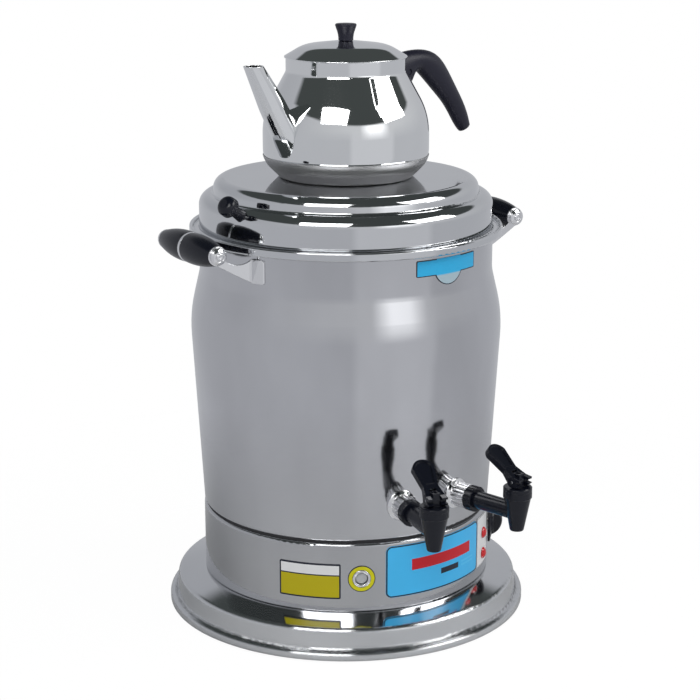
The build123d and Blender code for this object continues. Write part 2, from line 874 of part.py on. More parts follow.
def thermostat_shaft():
    inner = HOUSING_R - STAT_SET - DIAL_SHAFT_L + RUN
    outer = HOUSING_R + LABEL_T + RUN + DIAL_T + DIAL_SHAFT_L / 2
    skin = [(inner, 0), (inner, DIAL_SHAFT_R), (outer, DIAL_SHAFT_R), (outer, 0)]
    return on_wall(turned_out(skin, dial_z), DIAL_ANGLE)


def thermostat_knob():
    """Round skirt with a domed grip that is cut to two flats for the fingers."""
    low = HOUSING_R + LABEL_T + RUN
    step = low + DIAL_T
    top = step + DIAL_GRIP_H
    bore = DIAL_SHAFT_R + FIT
    end = step + DIAL_SHAFT_L / 2 + FIT
    middle, across = dome_middle(step, DIAL_GRIP_R, DIAL_GRIP_H)
    with BuildPart() as knob:
        with BuildSketch(Plane.YZ):
            with BuildLine():
                Polyline((-low, dial_z), (-low, dial_z + DIAL_R), (-step + DIAL_T / 2, dial_z + DIAL_R))
                Line((-step + DIAL_T / 2, dial_z + DIAL_R), (-step, dial_z + DIAL_GRIP_R))
                ThreePointArc(
                    (-step, dial_z + DIAL_GRIP_R),
                    (-middle, dial_z + across),
                    (-top, dial_z),
                )
                Line((-top, dial_z), (-low, dial_z))
            make_face()
        revolve(axis=Axis((0, 0, dial_z), (0, 1, 0)))
        with BuildSketch(Plane.XZ.offset(low)):
            with Locations((0, dial_z)):
                Circle(bore)
        extrude(amount=end - low, mode=Mode.SUBTRACT)
        with BuildSketch(Plane.XZ.offset(step + DIAL_T / 2)):
            with Locations((-DIAL_GRIP_R, dial_z), (DIAL_GRIP_R, dial_z)):
                Rectangle(DIAL_GRIP_R * FLAT_SHARE, DIAL_GRIP_R + DIAL_GRIP_R)
        extrude(amount=DIAL_GRIP_H, mode=Mode.SUBTRACT)
    return on_wall(knob.part, DIAL_ANGLE)


def pilot_lamps():
    with BuildPart() as group:
        for height in lamp_heights():
            add(pilot_lamp(height))
    return on_wall(group.part, STRIP_ANGLE)


def pilot_lamp(height):
    """Domed lens with its body behind the wall and a nut that holds it there."""
    seat = HOUSING_R + FIT + LABEL_T + FIT
    rim = seat + LAMP_FLANGE
    nut = HOUSING_R - SHEET - LABEL_T
    back = nut - LAMP_NUT_T
    end = seat - LAMP_BODY_L
    middle, across = dome_middle(rim, LAMP_R, LAMP_DOME)
    with BuildPart() as lamp:
        with BuildSketch(Plane.YZ):
            with BuildLine():
                Polyline(
                    (-end, height),
                    (-end, height + LAMP_BODY_R),
                    (-back, height + LAMP_BODY_R),
                    (-back, height + LAMP_NUT_R),
                    (-nut, height + LAMP_NUT_R),
                    (-nut, height + LAMP_BODY_R),
                    (-seat, height + LAMP_BODY_R),
                    (-seat, height + LAMP_R),
                    (-rim, height + LAMP_R),
                )
                ThreePointArc(
                    (-rim, height + LAMP_R),
                    (-middle, height + across),
                    (-rim - LAMP_DOME, height),
                )
                Line((-rim - LAMP_DOME, height), (-end, height))
            make_face()
        revolve(axis=Axis((0, 0, height), (0, 1, 0)))
    return lamp.part


def cable_gland():
    inner = HOUSING_R - SHEET - GLAND_IN
    wall = HOUSING_R + FIT
    head = wall + GLAND_FLANGE_T
    nose = wall + GLAND_NOSE
    tip = GLAND_BORE_R + SHEET + SHEET
    skin = [
        (inner, GLAND_BORE_R),
        (inner, GLAND_R),
        (wall, GLAND_R),
        (wall, GLAND_FLANGE_R),
        (head, GLAND_FLANGE_R),
        (nose, tip),
        (nose, GLAND_BORE_R),
    ]
    return on_wall(turned_out(skin, gland_z), BACK_ANGLE)


def terminal_block():
    low = plate_z + PLATE_T
    with BuildPart() as block:
        with BuildSketch(Plane.XY.offset(low)):
            with Locations((0, BLOCK_REACH)):
                Rectangle(BLOCK_L, BLOCK_W)
        extrude(amount=BLOCK_H)
        with BuildSketch(Plane.XY.offset(low + BLOCK_H)):
            with Locations((0, BLOCK_REACH)):
                with GridLocations(BLOCK_L / BLOCK_POLE_COUNT, BLOCK_W / 2, BLOCK_POLE_COUNT, 2):
                    Circle(BLOCK_POLE_R)
        extrude(amount=-BLOCK_H / 2, mode=Mode.SUBTRACT)
    return block.part


# Plates


def wrapped(radius, low, height, width, corner, turn):
    """Thin plate that hugs a round wall, with rounded corners."""
    with BuildPart() as plate:
        with BuildSketch(Plane.XY.offset(low)):
            Circle(radius + FIT + LABEL_T)
            Circle(radius + FIT, mode=Mode.SUBTRACT)
        extrude(amount=height)
        with BuildSketch(Plane.XZ):
            with Locations((0, low + height / 2)):
                RectangleRounded(width, height, corner)
        extrude(amount=radius + radius, mode=Mode.INTERSECT)
    return on_wall(plate.part, turn)


def front_plate():
    return wrapped(HOUSING_R, tray_z + PLATE_LOW, PLATE_H, FRONT_W, FRONT_ROUND, FRONT_ANGLE)


def lamp_strip():
    with BuildPart() as strip:
        add(wrapped(HOUSING_R, tray_z + PLATE_LOW, PLATE_H, STRIP_W, STRIP_ROUND, STRIP_ANGLE))
        for height in lamp_heights():
            with BuildSketch(facing(STRIP_ANGLE, HOUSING_R, height)):
                Circle(LAMP_BODY_R + FIT)
            extrude(amount=CUT, mode=Mode.SUBTRACT)
    return strip.part


def info_plate():
    return wrapped(HOUSING_R, tray_z + INFO_LOW, INFO_H, INFO_W, INFO_ROUND, INFO_ANGLE)


def upper_plate():
    """Band under the rim with a round field that hangs below it."""
    top = rim_z - UPPER_TOP
    low = top - UPPER_DISC_DROP - UPPER_DISC_R
    with BuildPart() as plate:
        with BuildSketch(Plane.XY.offset(low)):
            Circle(NECK_R + FIT + LABEL_T)
            Circle(NECK_R + FIT, mode=Mode.SUBTRACT)
        extrude(amount=top - low)
        with BuildSketch(Plane.XZ):
            with Locations((0, top - UPPER_H / 2)):
                RectangleRounded(UPPER_W, UPPER_H, UPPER_ROUND)
            with Locations((0, top - UPPER_DISC_DROP)):
                Circle(UPPER_DISC_R)
        extrude(amount=NECK_R + NECK_R, mode=Mode.INTERSECT)
    return on_wall(plate.part, UPPER_ANGLE)


def reset_mark():
    low = reset_z - MARK_R
    with BuildPart() as mark:
        with BuildSketch(Plane.XY.offset(low)):
            Circle(HOUSING_R + FIT + LABEL_T)
            Circle(HOUSING_R + FIT, mode=Mode.SUBTRACT)
        extrude(amount=MARK_R + MARK_R)
        with BuildSketch(Plane.XZ):
            with Locations((0, reset_z)):
                Circle(MARK_R)
                Circle(BEZEL_R + BEZEL_FLANGE + FIT, mode=Mode.SUBTRACT)
        extrude(amount=HOUSING_R + HOUSING_R, mode=Mode.INTERSECT)
    return on_wall(mark.part, RESET_ANGLE)


# Taps, built pointing out of the front and then turned into place

tap_wall = body_wall(tap_z)
spout_y = tap_wall + TAP_REACH
cup_top = tap_z + CUP_UP
cup_low = tap_z - CUP_DOWN
bonnet_z = cup_top + BONNET_T
ring_start = tap_wall + COLLAR_FLANGE_T + COLLAR_L
chamber_r = CUP_R - CUP_WALL
seat_z = tap_z - SEAT_DROP


def each_tap(draw):
    with BuildPart() as group:
        for turn in tap_turns():
            add(on_wall(draw(), turn))
    return group.part


def tap_collar():
    bore = TAP_SHANK_R + FIT
    start = tap_wall - CUT
    flange = tap_wall + COLLAR_FLANGE_T
    with BuildPart() as collar:
        skin = [
            (start, bore),
            (start, COLLAR_FLANGE_R),
            (flange - COLLAR_FLANGE_T / 2, COLLAR_FLANGE_R),
            (flange, COLLAR_R),
            (ring_start, COLLAR_R),
            (ring_start, bore),
        ]
        add(turned_out(skin, tap_z))
        with BuildSketch(Plane.XZ.offset(flange)):
            with Locations((0, tap_z)):
                with PolarLocations(COLLAR_R, COLLAR_RIB_COUNT):
                    Rectangle(COLLAR_RIB_H + COLLAR_RIB_H, COLLAR_RIB_W)
        extrude(amount=COLLAR_L - FIT)
        with BuildSketch(Plane.XZ.offset(start)):
            with Locations((0, tap_z)):
                Circle(bore)
        extrude(amount=ring_start - start, mode=Mode.SUBTRACT)
        add(body_block(FIT), mode=Mode.SUBTRACT)
    return collar.part


def tap_ring():
    bore = TAP_SHANK_R + FIT
    start = ring_start + FIT
    end = start + RING_NUT_L
    edge = RING_NUT_R - RING_NUT_GROOVE_D
    skin = [
        (start, bore),
        (start, edge),
        (start + RING_NUT_GROOVE_D, RING_NUT_R),
        (end - RING_NUT_GROOVE_D, RING_NUT_R),
        (end, edge),
        (end, bore),
    ]
    with BuildPart() as nut:
        add(turned_out(skin, tap_z))
        with BuildSketch(Plane.XZ.offset(start)):
            with Locations((0, tap_z)):
                with PolarLocations(RING_NUT_R, RING_NUT_GROOVE_COUNT):
                    Rectangle(RING_NUT_GROOVE_D + RING_NUT_GROOVE_D, RING_NUT_GROOVE_W)
        extrude(amount=RING_NUT_L, mode=Mode.SUBTRACT)
    return nut.part


def tap_washer():
    tank_in = tank_r - SHEET
    with BuildPart() as washer:
        with BuildSketch(Plane.XZ.offset(tank_in - WASHER_T)):
            with Locations((0, tap_z)):
                Circle(WASHER_R)
                Circle(TAP_SHANK_R + FIT, mode=Mode.SUBTRACT)
        extrude(amount=WASHER_T + CUT)
        with BuildSketch(Plane.XY.offset(tap_z - WASHER_R)):
            Circle(tank_in - FIT)
        extrude(amount=WASHER_R + WASHER_R, mode=Mode.INTERSECT)
    return washer.part


def tank_gaskets():
    with BuildPart() as group:
        add(heater_washers())
        add(each_tap(tap_washer))
    return group.part


def tap_back_nut():
    start = tank_r - SHEET - WASHER_T - FIT
    with BuildPart() as nut:
        with BuildSketch(Plane.XZ.offset(start)):
            with Locations((0, tap_z)):
                RegularPolygon(BACK_NUT_R, 6)
                Circle(TAP_SHANK_R + FIT, mode=Mode.SUBTRACT)
        extrude(amount=-BACK_NUT_L)
    return nut.part


def tap_body():
    """Shank through the walls, with an upright cup that narrows to the outlet."""
    inner = tank_r - SHEET - TAP_SHANK_IN
    groove_z = cup_top - CUP_BAND
    outer = [
        (0, cup_low),
        (OUTLET_R, cup_low),
        (OUTLET_R + CUP_GROOVE / 2, cup_low + CUP_GROOVE),
        (CUP_R - CUP_GROOVE, groove_z),
        (CUP_R, groove_z + CUP_GROOVE),
        (CUP_R, cup_top),
        (0, cup_top),
    ]
    with BuildPart() as tap:
        with BuildSketch(Plane.XZ.offset(inner)):
            with Locations((0, tap_z)):
                Circle(TAP_SHANK_R)
        extrude(amount=spout_y - inner)
        add(cup_solid(outer))
        with BuildSketch(Plane.XY.offset(cup_top)):
            with Locations((0, -spout_y)):
                Circle(chamber_r)
        extrude(amount=-BONNET_PLUG - FIT, mode=Mode.SUBTRACT)
        add(cup_solid(chamber_points()), mode=Mode.SUBTRACT)
        with BuildSketch(Plane.XY.offset(cup_low)):
            with Locations((0, -spout_y)):
                Circle(OUTLET_BORE_R)
        extrude(amount=seat_z - cup_low + FIT, mode=Mode.SUBTRACT)
        with BuildSketch(Plane.XZ.offset(inner)):
            with Locations((0, tap_z)):
                Circle(TAP_BORE_R)
        extrude(amount=spout_y - inner, mode=Mode.SUBTRACT)
    return tap.part


def chamber_points():
    floor_r = SEAT_CUP_R + RUN
    return [
        (0, seat_z),
        (floor_r, seat_z),
        (floor_r, tap_z + TAP_BORE_R),
        (chamber_r, cup_top - BONNET_PLUG),
        (0, cup_top - BONNET_PLUG),
    ]


def cup_solid(points):
    """Solid turned about the upright line through the cup of a tap."""
    with BuildPart() as piece:
        with BuildSketch(Plane.XZ):
            with BuildLine():
                Polyline(*points, close=True)
            make_face()
        revolve(axis=Axis.Z)
    return piece.part.translate((0, -spout_y, 0))


def tap_bonnet():
    """Cap of the cup, with a slotted tower that guides the stem and its pin."""
    plug = chamber_r - FIT
    tower_top = pin_z + STEM_LIFT + TOWER_OVER
    with BuildPart() as bonnet:
        skin = [
            (0, cup_top - BONNET_PLUG),
            (plug, cup_top - BONNET_PLUG),
            (plug, cup_top + FIT),
            (CUP_R, cup_top + FIT),
            (CUP_R, bonnet_z - CUP_GROOVE),
            (CUP_R - CUP_GROOVE, bonnet_z),
            (0, bonnet_z),
        ]
        add(cup_solid(skin))
        with BuildSketch(Plane.XY.offset(bonnet_z - CUP_GROOVE)):
            with Locations((0, -spout_y)):
                Rectangle(TOWER_W, TOWER_D)
        extrude(amount=tower_top - bonnet_z + CUP_GROOVE)
        with BuildSketch(Plane.XY.offset(cup_top - BONNET_PLUG)):
            with Locations((0, -spout_y)):
                Circle(STEM_R + RUN)
        extrude(amount=tower_top - cup_top + BONNET_PLUG + CUT, mode=Mode.SUBTRACT)
        with BuildSketch(Plane.YZ.offset(-TOWER_W)):
            with Locations((-spout_y, pin_z + STEM_LIFT / 2)):
                SlotOverall(
                    STEM_LIFT + PIN_R + PIN_R + RUN + RUN,
                    PIN_R + PIN_R + RUN + RUN,
                    rotation=SIDE_ANGLE,
                )
        extrude(amount=TOWER_W + TOWER_W, mode=Mode.SUBTRACT)
    return bonnet.part


def tap_stem():
    low = seat_z + SEAT_CUP_H / 2
    top = pin_z + STEM_HEAD
    with BuildPart() as stem:
        with BuildSketch(Plane.XY.offset(low)):
            with Locations((0, -spout_y)):
                Circle(STEM_R)
        extrude(amount=top - low)
        with BuildSketch(Plane.YZ.offset(-STEM_R - CUT)):
            with Locations((-spout_y, pin_z)):
                Circle(PIN_R + FIT)
        extrude(amount=STEM_R + STEM_R + CUT + CUT, mode=Mode.SUBTRACT)
    return stem.part


def tap_seat_cup():
    low = seat_z + FIT
    nose = OUTLET_BORE_R + CUP_GROOVE
    skin = [
        (0, low),
        (nose, low),
        (SEAT_CUP_R, low + SEAT_CUP_H / 2),
        (SEAT_CUP_R, low + SEAT_CUP_H),
        (0, low + SEAT_CUP_H),
    ]
    with BuildPart() as cup:
        add(cup_solid(skin))
        with BuildSketch(Plane.XY.offset(low + SEAT_CUP_H)):
            with Locations((0, -spout_y)):
                Circle(STEM_R + FIT)
        extrude(amount=-(low + SEAT_CUP_H - seat_z - SEAT_CUP_H / 2 + FIT), mode=Mode.SUBTRACT)
    return cup.part


def tap_pin():
    with BuildPart() as pin:
        with BuildSketch(Plane.YZ.offset(-LEVER_W / 2 + RUN)):
            with Locations((-spout_y, pin_z)):
                Circle(PIN_R)
        extrude(amount=LEVER_W - RUN - RUN)
    return pin.part


def lever_planes():
    """Side plane and face plane of a lever that leans back from the upright."""
    s = sin(radians(LEVER_LEAN_ANGLE))
    c = cos(radians(LEVER_LEAN_ANGLE))
    pin = (0, -spout_y, pin_z)
    side = Plane(origin=pin, x_dir=(0, c, -s), z_dir=(1, 0, 0))
    face = Plane(origin=pin, x_dir=(1, 0, 0), z_dir=(0, -c, s))
    return side, face


def lever_cam():
    """Heel of the lever, shaped so that an even turn lifts the stem evenly off the flat bonnet."""
    rate = STEM_LIFT / radians(LEVER_SWING_ANGLE)
    heel = PIN_H - RUN
    points = [(0, 0), (0, -heel)]
    for step in range(CAM_STEP_COUNT + 1):
        turn = radians(LEVER_SWING_ANGLE * step / CAM_STEP_COUNT)
        reach = heel + rate * turn
        out = reach * sin(turn) + rate * cos(turn)
        up = rate * sin(turn) - reach * cos(turn)
        points.append((-out, up))
    return points


def tap_lever():
    side, face = lever_planes()
    heel = PIN_H - RUN
    half_root = LEVER_ROOT_T / 2
    half = LEVER_T / 2
    reach = LEVER_L
    with BuildPart() as lever:
        with BuildSketch(side):
            with BuildLine():
                Polyline(
                    (-half_root, 0),
                    (-half, LEVER_NECK_L),
                    (-half, reach + CUT),
                    (half, reach + CUT),
                    (half, LEVER_NECK_L),
                    (half_root - RUN, 0),
                    close=True,
                )
            make_face()
        extrude(amount=LEVER_PADDLE_W / 2, both=True)
        with BuildSketch(face):
            with BuildLine():
                Polyline((LEVER_W / 2, -LEVER_W), (LEVER_W / 2, 0), (LEVER_NECK_W / 2, LEVER_NECK_L))
                Line((LEVER_NECK_W / 2, LEVER_NECK_L), (LEVER_PADDLE_W / 2, reach - LEVER_TIP_R))
                ThreePointArc(
                    (LEVER_PADDLE_W / 2, reach - LEVER_TIP_R),
                    (0, reach),
                    (-LEVER_PADDLE_W / 2, reach - LEVER_TIP_R),
                )
                Line((-LEVER_PADDLE_W / 2, reach - LEVER_TIP_R), (-LEVER_NECK_W / 2, LEVER_NECK_L))
                Polyline((-LEVER_NECK_W / 2, LEVER_NECK_L), (-LEVER_W / 2, 0), (-LEVER_W / 2, -LEVER_W))
                Line((-LEVER_W / 2, -LEVER_W), (LEVER_W / 2, -LEVER_W))
            make_face()
        extrude(amount=LEVER_ROOT_T, both=True, mode=Mode.INTERSECT)
        with BuildSketch(face.offset(half)) as pocket:
            with BuildLine():
                Polyline(*pocket_points(), close=True)
            make_face()
            fillet(pocket.vertices().group_by(Axis.Y)[0], radius=LEVER_POCKET_RIM)
            fillet(pocket.vertices().group_by(Axis.Y)[-1], radius=LEVER_POCKET_TIP_R)
        extrude(amount=-LEVER_POCKET_D, mode=Mode.SUBTRACT)
        with BuildSketch(Plane.YZ.offset(-LEVER_W / 2)):
            with Locations((-spout_y, pin_z)):
                Circle(heel)
                Polygon(*lever_cam(), align=None)
                Polygon(
                    (0, 0),
                    (-LEVER_TOE, LEVER_TOE_R),
                    (-LEVER_TOE, LEVER_TOE_R + LEVER_TOE_R),
                    (0, heel),
                    align=None,
                )
        extrude(amount=LEVER_W)
        with BuildSketch(Plane.YZ.offset(-TOWER_W / 2 - RUN)):
            with Locations((-spout_y, pin_z)):
                Circle(fork_r)
        extrude(amount=TOWER_W + RUN + RUN, mode=Mode.SUBTRACT)
        with BuildSketch(Plane.YZ.offset(-LEVER_W)):
            with Locations((-spout_y, pin_z)):
                Circle(PIN_R + FIT)
        extrude(amount=LEVER_W + LEVER_W, mode=Mode.SUBTRACT)
    return lever.part


def pocket_points():
    low = LEVER_NECK_L + LEVER_POCKET_RIM
    top = LEVER_L - LEVER_POCKET_RIM
    low_half = LEVER_NECK_W / 2 - LEVER_POCKET_RIM
    top_half = LEVER_PADDLE_W / 2 - LEVER_POCKET_RIM
    return [(low_half, low), (top_half, top), (-top_half, top), (-low_half, low)]


# Carry handles, built at the front and then turned to the sides

arm_x = GRIP_HALF + FIT
eye_y = -GRIP_REACH


def grip_half():
    """One turned half of a grip, from the middle ring to the bracket."""
    bore = ROD_R + FIT
    start = GRIP_RING_W / 2 + FIT
    edge = GRIP_SHOULDER / 4
    with BuildPart() as half:
        with BuildSketch(Plane.XY):
            with BuildLine():
                Polyline((start, bore), (start, GRIP_MID_R - FIT))
                ThreePointArc(
                    (start, GRIP_MID_R - FIT),
                    (GRIP_SHOULDER, GRIP_MID_R),
                    (GRIP_HALF - edge, GRIP_END_R + SHEET),
                )
                Polyline(
                    (GRIP_HALF - edge, GRIP_END_R + SHEET),
                    (GRIP_HALF, GRIP_END_R),
                    (GRIP_HALF, bore),
                    (start, bore),
                )
            make_face()
        revolve(axis=Axis.X)
    return half.part.translate((0, eye_y, grip_z))


def both_ends(part):
    with BuildPart() as pair:
        add(part)
        add(part.mirror(Plane.YZ))
    return pair.part


def grip_ring():
    with BuildPart() as band:
        with BuildSketch(Plane.YZ.offset(-GRIP_RING_W / 2)):
            with Locations((eye_y, grip_z)):
                Circle(GRIP_RING_R)
                Circle(ROD_R + FIT, mode=Mode.SUBTRACT)
        extrude(amount=GRIP_RING_W)
    return band.part


def tie_rod():
    half = arm_x + ARM_T + FIT + CAP_BORE - FIT
    with BuildPart() as rod:
        with BuildSketch(Plane.YZ.offset(-half)):
            with Locations((eye_y, grip_z)):
                Circle(ROD_R)
        extrude(amount=half + half)
    return rod.part


def end_cap():
    """Domed cap nut on the end of a tie rod."""
    start = arm_x + ARM_T + FIT
    end = start + CAP_L
    middle, across = dome_middle(end - CAP_ROUND, CAP_R, CAP_ROUND)
    with BuildPart() as cap:
        with BuildSketch(Plane.XY):
            with BuildLine():
                Polyline(
                    (start + CAP_BORE, 0),
                    (start + CAP_BORE, ROD_R + FIT),
                    (start, ROD_R + FIT),
                    (start, CAP_R),
                    (end - CAP_ROUND, CAP_R),
                )
                ThreePointArc(
                    (end - CAP_ROUND, CAP_R),
                    (middle, across),
                    (end, 0),
                )
                Line((end, 0), (start + CAP_BORE, 0))
            make_face()
        revolve(axis=Axis.X)
        with BuildSketch(Plane.YZ.offset(end)):
            Circle(CAP_GROOVE_R)
            Circle(CAP_GROOVE_R - CAP_GROOVE_W, mode=Mode.SUBTRACT)
        extrude(amount=-CAP_GROOVE_D, mode=Mode.SUBTRACT)
        with BuildSketch(Plane.YZ.offset(end)):
            Circle(CAP_DOT_R)
        extrude(amount=-CAP_DOT_D, mode=Mode.SUBTRACT)
    return cap.part.translate((0, eye_y, grip_z))


def grip_arm():
    """Flat arm from the welded foot on the neck to the eye at the end of the grip."""
    wall_y = -sqrt(NECK_R**2 - arm_x**2)
    foot_top = rim_z - SHEET - SHEET - ARM_FOOT_TOP
    foot_low = foot_top - ARM_FOOT_H
    waist_y = wall_y - ARM_WAIST_REACH
    waist_top = foot_top - ARM_WAIST_DROP / 2
    near = NECK_R + FIT
    with BuildPart() as pad:
        add(ring(near + ARM_T, near, foot_low, ARM_FOOT_H))
        with BuildSketch(Plane.XZ):
            with Locations((arm_x + ARM_FOOT_W / 2, foot_low + ARM_FOOT_H / 2)):
                RectangleRounded(ARM_FOOT_W, ARM_FOOT_H, ARM_T)
        extrude(amount=NECK_R + NECK_R, mode=Mode.INTERSECT)
    with BuildPart() as arm:
        with BuildSketch(Plane.YZ.offset(arm_x)):
            with Locations((eye_y, grip_z)):
                Circle(ARM_EYE_R)
            with BuildLine():
                Line((wall_y + CUT, foot_low), (wall_y + CUT, foot_top))
                Line((wall_y + CUT, foot_top), (wall_y, foot_top))
                ThreePointArc((wall_y, foot_top), (waist_y, waist_top), (eye_y, grip_z + ARM_EYE_R))
                Line((eye_y, grip_z + ARM_EYE_R), (eye_y, grip_z - ARM_EYE_R))
                ThreePointArc(
                    (eye_y, grip_z - ARM_EYE_R),
                    (waist_y, waist_top - ARM_WAIST_H),
                    (wall_y, foot_low),
                )
                Line((wall_y, foot_low), (wall_y + CUT, foot_low))
            make_face()
            with Locations((eye_y, grip_z)):
                Circle(ROD_R + FIT, mode=Mode.SUBTRACT)
        extrude(amount=ARM_T)
        with BuildSketch(Plane.XY.offset(foot_low)):
            Circle(near)
        extrude(amount=ARM_FOOT_H, mode=Mode.SUBTRACT)
        add(pad.part)
    return arm.part


def at_sides(part):
    with BuildPart() as pair:
        add(on_wall(part, -SIDE_ANGLE))
        add(on_wall(part, SIDE_ANGLE))
    return pair.part


# Lid of the urn


def lid_points(grow):
    return [
        (LID_R + grow, land_z + SHEET + grow),
        (LID_R + grow, shoulder_z + grow),
        (LID_STEP_R + grow, shoulder_z + grow),
        (LID_TOP_R + grow, lid_z + grow),
    ]


def knob_seat():
    """Plane on the rounded shoulder of the lid, square to it, where the knob sits."""
    bend = LID_SHOULDER_ROUND
    reach = LID_R - bend + bend * cos(radians(LID_KNOB_TILT_ANGLE))
    height = shoulder_z - bend + bend * sin(radians(LID_KNOB_TILT_ANGLE))
    s = sin(radians(LID_KNOB_ANGLE))
    c = cos(radians(LID_KNOB_ANGLE))
    out = cos(radians(LID_KNOB_TILT_ANGLE))
    up = sin(radians(LID_KNOB_TILT_ANGLE))
    return Plane(origin=(reach * s, -reach * c, height), x_dir=(c, s, 0), z_dir=(out * s, -out * c, up))


def lid_shell():
    flange_r = BEAD_R - BEAD_W - LID_FLANGE_GAP
    skin = [(flange_r, land_z + SHEET)] + lid_points(0)
    skin += [(LID_HOLE_R, lid_z), (LID_HOLE_R, lid_z - LID_HEM)]
    with BuildPart() as lid:
        add(pressed(skin, lid_rounds, SHEET))
        with BuildSketch(knob_seat().offset(CUT)):
            Circle(LID_SCREW_R + FIT)
        extrude(amount=-(CUT + CUT), mode=Mode.SUBTRACT)
    return lid.part


def lid_knob():
    head = LID_KNOB_L - LID_KNOB_HEAD_L
    skin = [
        (0, -CUT),
        (LID_KNOB_FOOT_R, -CUT),
        (LID_KNOB_NECK_R, head),
        (LID_KNOB_HEAD_R, head),
        (LID_KNOB_HEAD_R, LID_KNOB_L),
        (0, LID_KNOB_L),
    ]
    block = [(0, land_z)] + [(LID_R + FIT, land_z)] + lid_points(FIT)[1:] + [(0, lid_z + FIT)]
    rounds = (SHEET, LID_SHOULDER_ROUND, LID_STEP_ROUND, LID_TOP_ROUND)
    with BuildPart() as knob:
        with BuildSketch(Plane.XZ):
            with BuildLine():
                blank = FilletPolyline(*skin, radius=(SHEET,) + lid_knob_rounds)
                Line(blank @ 1, blank @ 0)
            make_face()
        revolve(axis=Axis.Z)
        with BuildSketch(Plane.XY.offset(-CUT)):
            Circle(LID_SCREW_R + FIT)
        extrude(amount=CUT + LID_SCREW_L, mode=Mode.SUBTRACT)
    with BuildPart() as fitted:
        add(knob_seat().location * knob.part)
        with BuildSketch(Plane.XZ):
            with BuildLine() as outline:
                FilletPolyline(*block, radius=rounds)
                Line(outline.line @ 1, outline.line @ 0)
            make_face()
        revolve(axis=Axis.Z, mode=Mode.SUBTRACT)
    return fitted.part


def lid_knob_screw():
    bend = LID_SHOULDER_ROUND - SHEET
    sag = bend - sqrt(bend**2 - LID_SCREW_HEAD_R**2)
    under = -SHEET - sag - FIT
    with BuildPart() as screw:
        with BuildSketch(Plane.XY.offset(under - LID_SCREW_HEAD_H)):
            Circle(LID_SCREW_HEAD_R)
        extrude(amount=LID_SCREW_HEAD_H)
        with BuildSketch(Plane.XY.offset(under - FIT)):
            Circle(LID_SCREW_R)
        extrude(amount=LID_SCREW_L - under - FIT)
    return knob_seat().location * screw.part


# Teapot, built with the spout at the front and then turned


def pot_points(top):
    return [
        (0, pot_z),
        (POT_FOOT_R, pot_z),
        (POT_BELLY_R, pot_z + POT_BELLY_LOW),
        (POT_BELLY_R, pot_z + POT_BELLY_TOP),
        (POT_NECK_R, pot_z + POT_NECK_LOW),
        (POT_NECK_R, top),
    ]


def pot_block(grow):
    """Teapot filled solid and grown a little."""
    points, rounds = parallel(pot_points(pot_rim_z), pot_rounds, -grow)
    with BuildPart() as block:
        with BuildSketch(Plane.XZ):
            with BuildLine():
                skin = FilletPolyline(*points, radius=rounds)
                Polyline(skin @ 1, (0, pot_rim_z), skin @ 0)
            make_face()
        revolve(axis=Axis.Z)
    return block.part


def turned_pot(part):
    return part.rotate(Axis.Z, POT_ANGLE)


def spout_plane():
    s = sin(radians(SPOUT_TILT_ANGLE))
    c = cos(radians(SPOUT_TILT_ANGLE))
    origin = (0, -POT_BELLY_R, pot_z + SPOUT_H)
    return Plane(origin=origin, x_dir=(1, 0, 0), z_dir=(0, -s, c))


def teapot_body():
    with BuildPart() as pot:
        add(pressed(pot_points(pot_rim_z), pot_rounds, SHEET))
        with BuildSketch(spout_plane().offset(-SPOUT_BACK)):
            Circle(SPOUT_HOLE_R)
        extrude(amount=SPOUT_L, mode=Mode.SUBTRACT)
        with BuildSketch(facing(POT_VENT_ANGLE, POT_NECK_R + CUT, pot_rim_z - POT_VENT_DROP)):
            Circle(POT_VENT_R)
        extrude(amount=-(SHEET + CUT + CUT), mode=Mode.SUBTRACT)
    return turned_pot(pot.part)


def teapot_base():
    """Brushed cap pressed on the foot of the teapot."""
    with BuildPart() as cap:
        add(layer(pot_points(pot_rim_z), pot_rounds, -FIT - POT_CAP_T, -FIT))
        split(bisect_by=Plane.XY.offset(pot_z + POT_CAP_H), keep=Keep.BOTTOM)
    return turned_pot(cap.part)


def spout_skin(thin):
    return [
        (SPOUT_ROOT_R - thin, -SPOUT_BACK),
        (SPOUT_MID_R - thin, SPOUT_MID_L),
        (SPOUT_TIP_R - thin, SPOUT_L),
    ]


def spout_solid(thin):
    with BuildPart() as solid:
        with BuildSketch(Plane.XZ):
            with BuildLine() as skin:
                FilletPolyline(*spout_skin(thin), radius=SPOUT_ROUND)
                Polyline(skin.line @ 1, (0, SPOUT_L), (0, -SPOUT_BACK), skin.line @ 0)
            make_face()
        revolve(axis=Axis.Z)
    return spout_plane().location * solid.part


def teapot_spout():
    with BuildPart() as spout:
        add(spout_solid(0))
        add(spout_solid(SHEET), mode=Mode.SUBTRACT)
        add(pot_block(FIT), mode=Mode.SUBTRACT)
        split(bisect_by=Plane.XY.offset(pot_rim_z), keep=Keep.BOTTOM)
    return turned_pot(spout.part)


def arc_plane(share):
    """Plane square to the middle line of the handle, a share of the way along it."""
    path_points = [
        (0, ARC_ROOT_R, pot_z + ARC_ROOT_H),
        (0, ARC_TOP_R, pot_z + ARC_TOP_H),
        (0, ARC_SIDE_R, pot_z + ARC_SIDE_H),
        (0, ARC_END_R, pot_z + ARC_END_H),
    ]
    with BuildLine() as path:
        FilletPolyline(*path_points, radius=arc_rounds)
    return Plane(origin=path.line @ share, x_dir=(1, 0, 0), z_dir=path.line % share)


